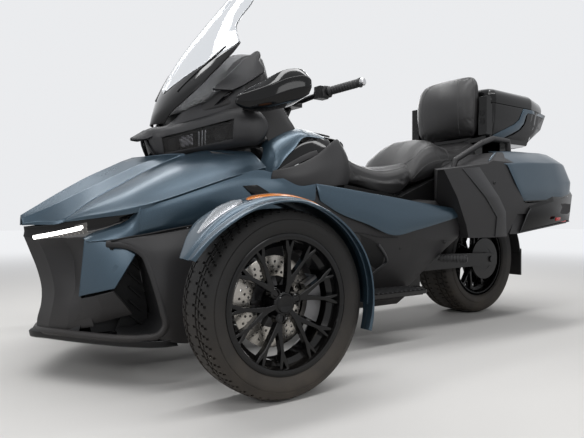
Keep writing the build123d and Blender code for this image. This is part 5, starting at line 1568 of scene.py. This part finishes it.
def plump(piece, base, cap):
    """Swell a closed form like a cover over foam, by no more than a cap in millimetres. The base test
    says which points are held."""
    remesh = piece.modifiers.new("remesh", "REMESH")
    remesh.mode = "VOXEL"
    remesh.voxel_size = VOXEL * MM
    apply_modifiers(piece)
    places = [vertex.co.copy() for vertex in piece.data.vertices]
    held = piece.vertex_groups.new(name="held")
    held.add([number for number, place in enumerate(places) if base(place / MM)], 1.0, "REPLACE")
    cloth = piece.modifiers.new("cloth", "CLOTH")
    cloth.settings.quality = 4
    cloth.settings.use_pressure = True
    cloth.settings.uniform_pressure_force = PRESSURE
    cloth.settings.effector_weights.gravity = 0
    cloth.settings.vertex_group_mass = "held"
    for frame_number in range(1, CLOTH_STEPS + 1):
        bpy.context.scene.frame_set(frame_number)
    apply_modifiers(piece)
    bpy.context.scene.frame_set(1)
    for vertex, place in zip(piece.data.vertices, places):
        moved = vertex.co - place
        if moved.length > cap * MM:
            vertex.co = place + moved.normalized() * cap * MM
    piece.vertex_groups.clear()
    finer = piece.modifiers.new("finer", "SUBSURF")
    finer.levels = finer.render_levels = 1
    apply_modifiers(piece)
    return smooth(piece, 80)


def pad_of(name, halves):
    """A closed pad out of the left halves of its sections."""
    return loft(name, [whole_ring(half) for half in halves], across=2, crease=0)


# %% Driver's seat
driver_pad = plump(pad_of("driver_pad", upright_rings([
    (146, [(0, 706), (132, 706), (144, 730), (144, 782), (126, 802), (76, 812), (0, 814)]),
    (134, [(0, 696), (146, 696), (154, 722), (152, 780), (132, 801), (78, 811), (0, 813)]),
    (60, [(0, 680), (160, 680), (168, 704), (167, 752), (146, 772), (80, 780), (0, 780)]),
    (-20, [(0, 660), (176, 656), (182, 676), (177, 730), (156, 754), (88, 761), (0, 761)]),
    (-100, [(0, 646), (182, 642), (187, 664), (183, 722), (162, 750), (88, 756), (0, 755)]),
    (-170, [(0, 646), (182, 646), (188, 670), (185, 734), (162, 760), (88, 765), (0, 763)]),
    (-240, [(0, 668), (180, 688), (186, 706), (181, 752), (156, 777), (88, 781), (0, 779)]),
    (-298, [(0, 744), (164, 756), (170, 764), (167, 776), (146, 788), (88, 793), (0, 793)]),
])), lambda place: place.z < 700 - 0.17 * (place.x - 146) * (place.x < -60) and place.z < 690, cap=8)

# %% Passenger's seat
passenger_pad = plump(pad_of("passenger_pad", upright_rings([
    (-240, [(0, 704), (146, 704), (164, 714), (168, 730), (146, 746), (80, 756), (0, 760)]),
    (-264, [(0, 698), (180, 698), (191, 714), (191, 744), (170, 770), (90, 788), (0, 794)]),
    (-300, [(0, 700), (190, 704), (199, 724), (199, 776), (178, 812), (110, 840), (0, 848)]),
    (-350, [(0, 708), (192, 718), (202, 742), (201, 808), (176, 852), (110, 884), (0, 894)]),
    (-410, [(0, 724), (194, 734), (204, 758), (203, 830), (176, 880), (110, 910), (0, 920)]),
    (-460, [(0, 738), (194, 748), (202, 772), (201, 840), (176, 886), (110, 911), (0, 921)]),
    (-520, [(0, 756), (192, 768), (198, 792), (197, 846), (174, 876), (110, 890), (0, 896)]),
    (-600, [(0, 784), (188, 794), (194, 808), (193, 854), (170, 876), (110, 882), (0, 884)]),
    (-690, [(0, 820), (182, 828), (188, 842), (187, 882), (164, 902), (110, 908), (0, 910)]),
    (-756, [(0, 850), (176, 856), (182, 868), (181, 908), (158, 926), (110, 932), (0, 934)]),
])), lambda place: place.z < 712 - 0.29 * (place.x + 264), cap=9)

# %% Backrest
backrest_pad = plump(pad_of("backrest_pad", level_rings([
    (960, [(-710, 0), (-713, 70), (-721, 126), (-736, 160), (-751, 168), (-765, 160), (-767, 70), (-767, 0)]),
    (986, [(-688, 0), (-692, 70), (-702, 130), (-719, 174), (-744, 186), (-764, 178), (-767, 80), (-767, 0)]),
    (1040, [(-668, 0), (-673, 70), (-685, 132), (-706, 180), (-740, 194), (-764, 186), (-767, 80),
            (-767, 0)]),
    (1110, [(-662, 0), (-667, 70), (-679, 134), (-704, 186), (-740, 200), (-764, 192), (-767, 80),
            (-767, 0)]),
    (1180, [(-667, 0), (-672, 70), (-684, 132), (-709, 184), (-742, 198), (-764, 190), (-767, 80),
            (-767, 0)]),
    (1240, [(-690, 0), (-695, 70), (-706, 126), (-724, 172), (-746, 190), (-764, 182), (-767, 80),
            (-767, 0)]),
    (1272, [(-714, 0), (-718, 60), (-727, 112), (-739, 150), (-753, 164), (-765, 158), (-767, 60),
            (-767, 0)]),
    (1283, [(-732, 0), (-735, 50), (-741, 92), (-748, 120), (-757, 130), (-765, 124), (-767, 50), (-767, 0)]),
])), lambda place: place.x < -757, cap=10)

# %% Seams
THREAD_RADIUS, THREAD_LIFT = 1.3, 0.3


def seam(piece, points):
    """Thread laid along a smooth line on a pad's surface."""
    route = []
    for place in smooth_line([Vector(point) * MM for point in points], 8):
        _, spot, normal, _ = piece.closest_point_on_mesh(place)
        route.append((spot + normal * THREAD_LIFT * MM) / MM)
    return bar("seam", route, THREAD_RADIUS, 1, 3, both=True)


for pad, name in ((driver_pad, "driver_seat"), (passenger_pad, "passenger_seat"), (backrest_pad, "backrest")):
    dress(pad, vinyl, name)
dress(joined("seat_seams", [
    seam(driver_pad, [
        (140, 134, 808), (60, 150, 786), (-20, 162, 768), (-100, 168, 764), (-180, 168, 770),
        (-250, 160, 786), (-296, 140, 798),
    ]),
    seam(driver_pad, [(-250, 0, 800), (-246, 60, 800), (-236, 120, 796), (-214, 160, 784)]),
    seam(passenger_pad, [
        (-256, 120, 780), (-290, 168, 826), (-350, 176, 880), (-420, 172, 905), (-500, 168, 900),
        (-600, 172, 892), (-700, 166, 914), (-752, 150, 934),
    ]),
    seam(passenger_pad, [(-420, 172, 905), (-470, 120, 925), (-490, 60, 925), (-496, 0, 925)]),
    seam(passenger_pad, [
        (-520, 206, 820), (-530, 180, 880), (-540, 120, 905), (-545, 60, 905), (-548, 0, 905),
    ]),
    seam(passenger_pad, [
        (-262, 196, 716), (-320, 206, 770), (-400, 210, 806), (-500, 206, 820), (-620, 202, 830),
        (-740, 190, 876),
    ]),
    seam(backrest_pad, [
        (-714, 112, 975), (-680, 124, 1040), (-672, 128, 1110), (-680, 124, 1180), (-704, 108, 1240),
        (-730, 80, 1276),
    ]),
    seam(backrest_pad, [
        (-744, 168, 968), (-722, 196, 1040), (-720, 202, 1110), (-722, 198, 1180), (-738, 176, 1240),
        (-752, 130, 1276),
    ]),
]), thread)

# %% [markdown]
# ## Top case
#
# The case body stays as it is and gets its outer skins: a dark shell, a painted strip that runs up to
# the lid, and a grained facet at the rear corner. The lid is one closed form with shallow ribs.

# %% Top case
dress(panel("case_shell", [
    [(-786, 0, 930), (-788, 206, 930), (-818, 220, 930), (-1120, 210, 932), (-1196, 172, 932),
     (-1232, 90, 934), (-1238, 0, 934)],
    [(-779, 0, 985), (-784, 226, 985), (-816, 241, 985), (-1130, 230, 985), (-1250, 188, 985),
     (-1292, 98, 985), (-1298, 0, 985)],
    [(-776, 0, 1045), (-781, 240, 1045), (-812, 255, 1045), (-1140, 246, 1045), (-1296, 204, 1045),
     (-1340, 108, 1045), (-1348, 0, 1045)],
    [(-775, 0, 1100), (-778, 248, 1100), (-810, 260, 1100), (-1150, 254, 1100), (-1334, 204, 1100),
     (-1380, 116, 1100), (-1388, 0, 1100)],
    [(-775, 0, 1127), (-778, 250, 1127), (-810, 261, 1127), (-1150, 256, 1127), (-1346, 203, 1127),
     (-1392, 118, 1127), (-1400, 0, 1127)],
], (-0.2, 1, 0), along=3, wall=3, crease=7), gloss_black)
dress(panel("case_facets", [
    [(-1104, 259, 1104), (-1240, 238, 1104), (-1338, 207, 1106), (-1380, 116, 1108)],
    [(-1092, 256, 1054), (-1240, 232, 1054), (-1300, 204, 1056), (-1344, 106, 1058)],
    [(-1056, 248, 1010), (-1200, 232, 1006), (-1270, 196, 1008), (-1312, 100, 1010)],
    [(-940, 236, 958), (-1120, 222, 954), (-1216, 180, 954), (-1252, 90, 956)],
], (-0.2, 1, 0), along=2, wall=5, crease=3, rim=1.5), charcoal)
dress(panel("case_strips", [
    [(-816, 239, 960), (-866, 229, 934)], [(-990, 254, 1034), (-1036, 249, 1010)],
    [(-1030, 257, 1062), (-1072, 255, 1046)], [(-1050, 260, 1100), (-1086, 259, 1088)],
    [(-1066, 262, 1125), (-1104, 260, 1105)], [(-1150, 259, 1125), (-1152, 258, 1106)],
    [(-1340, 211, 1125), (-1340, 210, 1107)],
], (-0.2, 1, 0), along=1, wall=6, crease=2, rim=1.5), body_paint)
lid_levels = level_rings([
    (1130, [(-780, 0), (-781, 200), (-790, 244), (-820, 256), (-1150, 250), (-1332, 198), (-1378, 116),
            (-1388, 0)]),
    (1154, [(-779, 0), (-780, 202), (-789, 245), (-820, 257), (-1150, 252), (-1335, 198), (-1381, 116),
            (-1391, 0)]),
    (1182, [(-780, 0), (-781, 198), (-791, 240), (-822, 252), (-1156, 245), (-1332, 189), (-1380, 110),
            (-1388, 0)]),
    (1204, [(-792, 0), (-793, 186), (-804, 224), (-834, 235), (-1160, 227), (-1312, 171), (-1355, 100),
            (-1364, 0)]),
    (1216, [(-814, 0), (-815, 168), (-828, 202), (-852, 212), (-1162, 202), (-1292, 154), (-1328, 90),
            (-1336, 0)]),
])
# The last point of each ring is one too many. It leaves a wedge-shaped opening in the lid's right half
lid_rings = [whole_ring(half) + [(half[-1][0] + 0.2, -0.01, half[-1][2])] for half in lid_levels]
case_lid = loft("case_lid", lid_rings, along=3, crease=7, angle=14)
dress(case_lid, gloss_black, "top_case_lid", body="top_case_lid")
dress(joined("case_lid_ribs", [
    plate("rib", [
        (-850, y, 1214), (-860, y + 22, 1214), (-1270, y + 14, 1214), (-1282, y + 4, 1214),
    ], (0, 0, 5), 2.5, both=True) for y in (36, 104)
]), gloss_black, body="top_case_lid")
dress(plate("speaker_pods", [
    (-742, 206, 990), (-742, 234, 998), (-742, 257, 1026), (-742, 252, 1074), (-742, 232, 1112),
    (-742, 206, 1122),
], (-40, 0, 0), 7, both=True), gloss_black)
grille_profile = [(0, 0), (0, 16), (-4, 17), (-4, 14), (-3, 0)]
dress(on_both_sides(joined("speaker_grilles", [
    turned("grille", grille_profile, (-738.5, 230, height), 40, (1, 0, 0)) for height in (1030, 1074)
])), mesh_black, slot="grille_mesh")
dress_node("top_case_body", gloss_black, 4)

# %% [markdown]
# ## Side bags
#
# Each bag keeps its solid with softly rounded edges. A lighter band runs down its front, the painted
# lid is a shell with a chamfered top, and a gloss-black panel covers the box under it.

# %% Side bags
dress(panel("bag_bands", [
    [(-270, 477, 744), (-330, 478, 751), (-388, 477, 757)],
    [(-428, 479, 624), (-480, 480, 624), (-532, 479, 624)],
    [(-540, 461, 532), (-570, 465, 546), (-600, 467, 558)],
    [(-552, 443, 440), (-596, 443, 440), (-641, 443, 440)],
], (0, 1, 0), along=1, wall=5, crease=4, rim=1.5), grey_plastic)
lid_columns = [
    [(-737, 473, 609), (-660, 480, 690), (-590, 480, 780), (-486, 452, 795), (-604, 398, 846),
     (-640, 340, 857)],
    [(-850, 472, 613), (-800, 481, 698), (-736, 481, 794), (-712, 441, 826), (-740, 397, 858),
     (-760, 340, 864)],
    [(-1000, 470, 622), (-960, 480, 705), (-910, 480, 802), (-890, 438, 833), (-900, 393, 862),
     (-910, 340, 869)],
    [(-1120, 464, 636), (-1104, 474, 712), (-1056, 469, 808), (-1040, 428, 840), (-1036, 387, 865),
     (-1030, 338, 871)],
    [(-1190, 447, 652), (-1186, 455, 716), (-1134, 447, 802), (-1110, 412, 834), (-1100, 376, 859),
     (-1096, 338, 864)],
    [(-1204, 420, 655), (-1206, 424, 716), (-1170, 412, 792), (-1140, 388, 824), (-1124, 352, 848),
     (-1120, 334, 852)],
]
bag_lid = panel("bag_lid_skin_left", lid_columns, (-0.2, 1, 0.5), wall=4, crease=6, rim=1.5, both=False)
dress_pair(bag_lid, body_paint, "bag_lid_left", body="bag_lid_left")
lid_trim = bar("bag_lid_trim_left", [row[0] for row in lid_columns], 3, 4, 4)
dress_pair(lid_trim, gloss_black, body="bag_lid_left")
dress(panel("bag_box_panels", [
    [(-784, 460, 612), (-985, 464, 664), (-1186, 440, 694)],
    [(-786, 470, 574), (-985, 479, 613), (-1192, 462, 648)],
    [(-776, 466, 548), (-970, 466, 550), (-1184, 456, 560)],
    [(-735, 451, 458), (-960, 451, 484), (-1182, 450, 510)],
], (0, 1, 0), along=1, wall=4, crease=3, rim=1.5), gloss_black)
dress(bar("bag_box_edges", [
    (-790, 474, 574), (-772, 468, 546), (-735, 453, 458), (-960, 453, 483), (-1180, 451, 509),
], 3, 1, 4, both=True), grey_plastic)
dress(plate("bag_side_reflectors", [
    (-1018, 466, 513), (-1058, 466, 515), (-1058, 468, 531), (-1018, 468, 529),
], (0, 7, 0), 1.5, both=True), red_lens)
dress(panel("bag_front_fins", [
    [(-390, 250, 712), (-340, 330, 712), (-300, 400, 716)], [(-470, 300, 620), (-430, 370, 610),
     (-400, 418, 600)],
    [(-500, 330, 560), (-470, 380, 552), (-440, 424, 545)],
], (1, 0.4, 0), along=3, wall=4, crease=0), gloss_black)
dress_node("bag_bodies", charcoal, 4)
dress_node("rear_lamps", red_lens, 1.5)
dress_node("grab_rails", charcoal, 1)
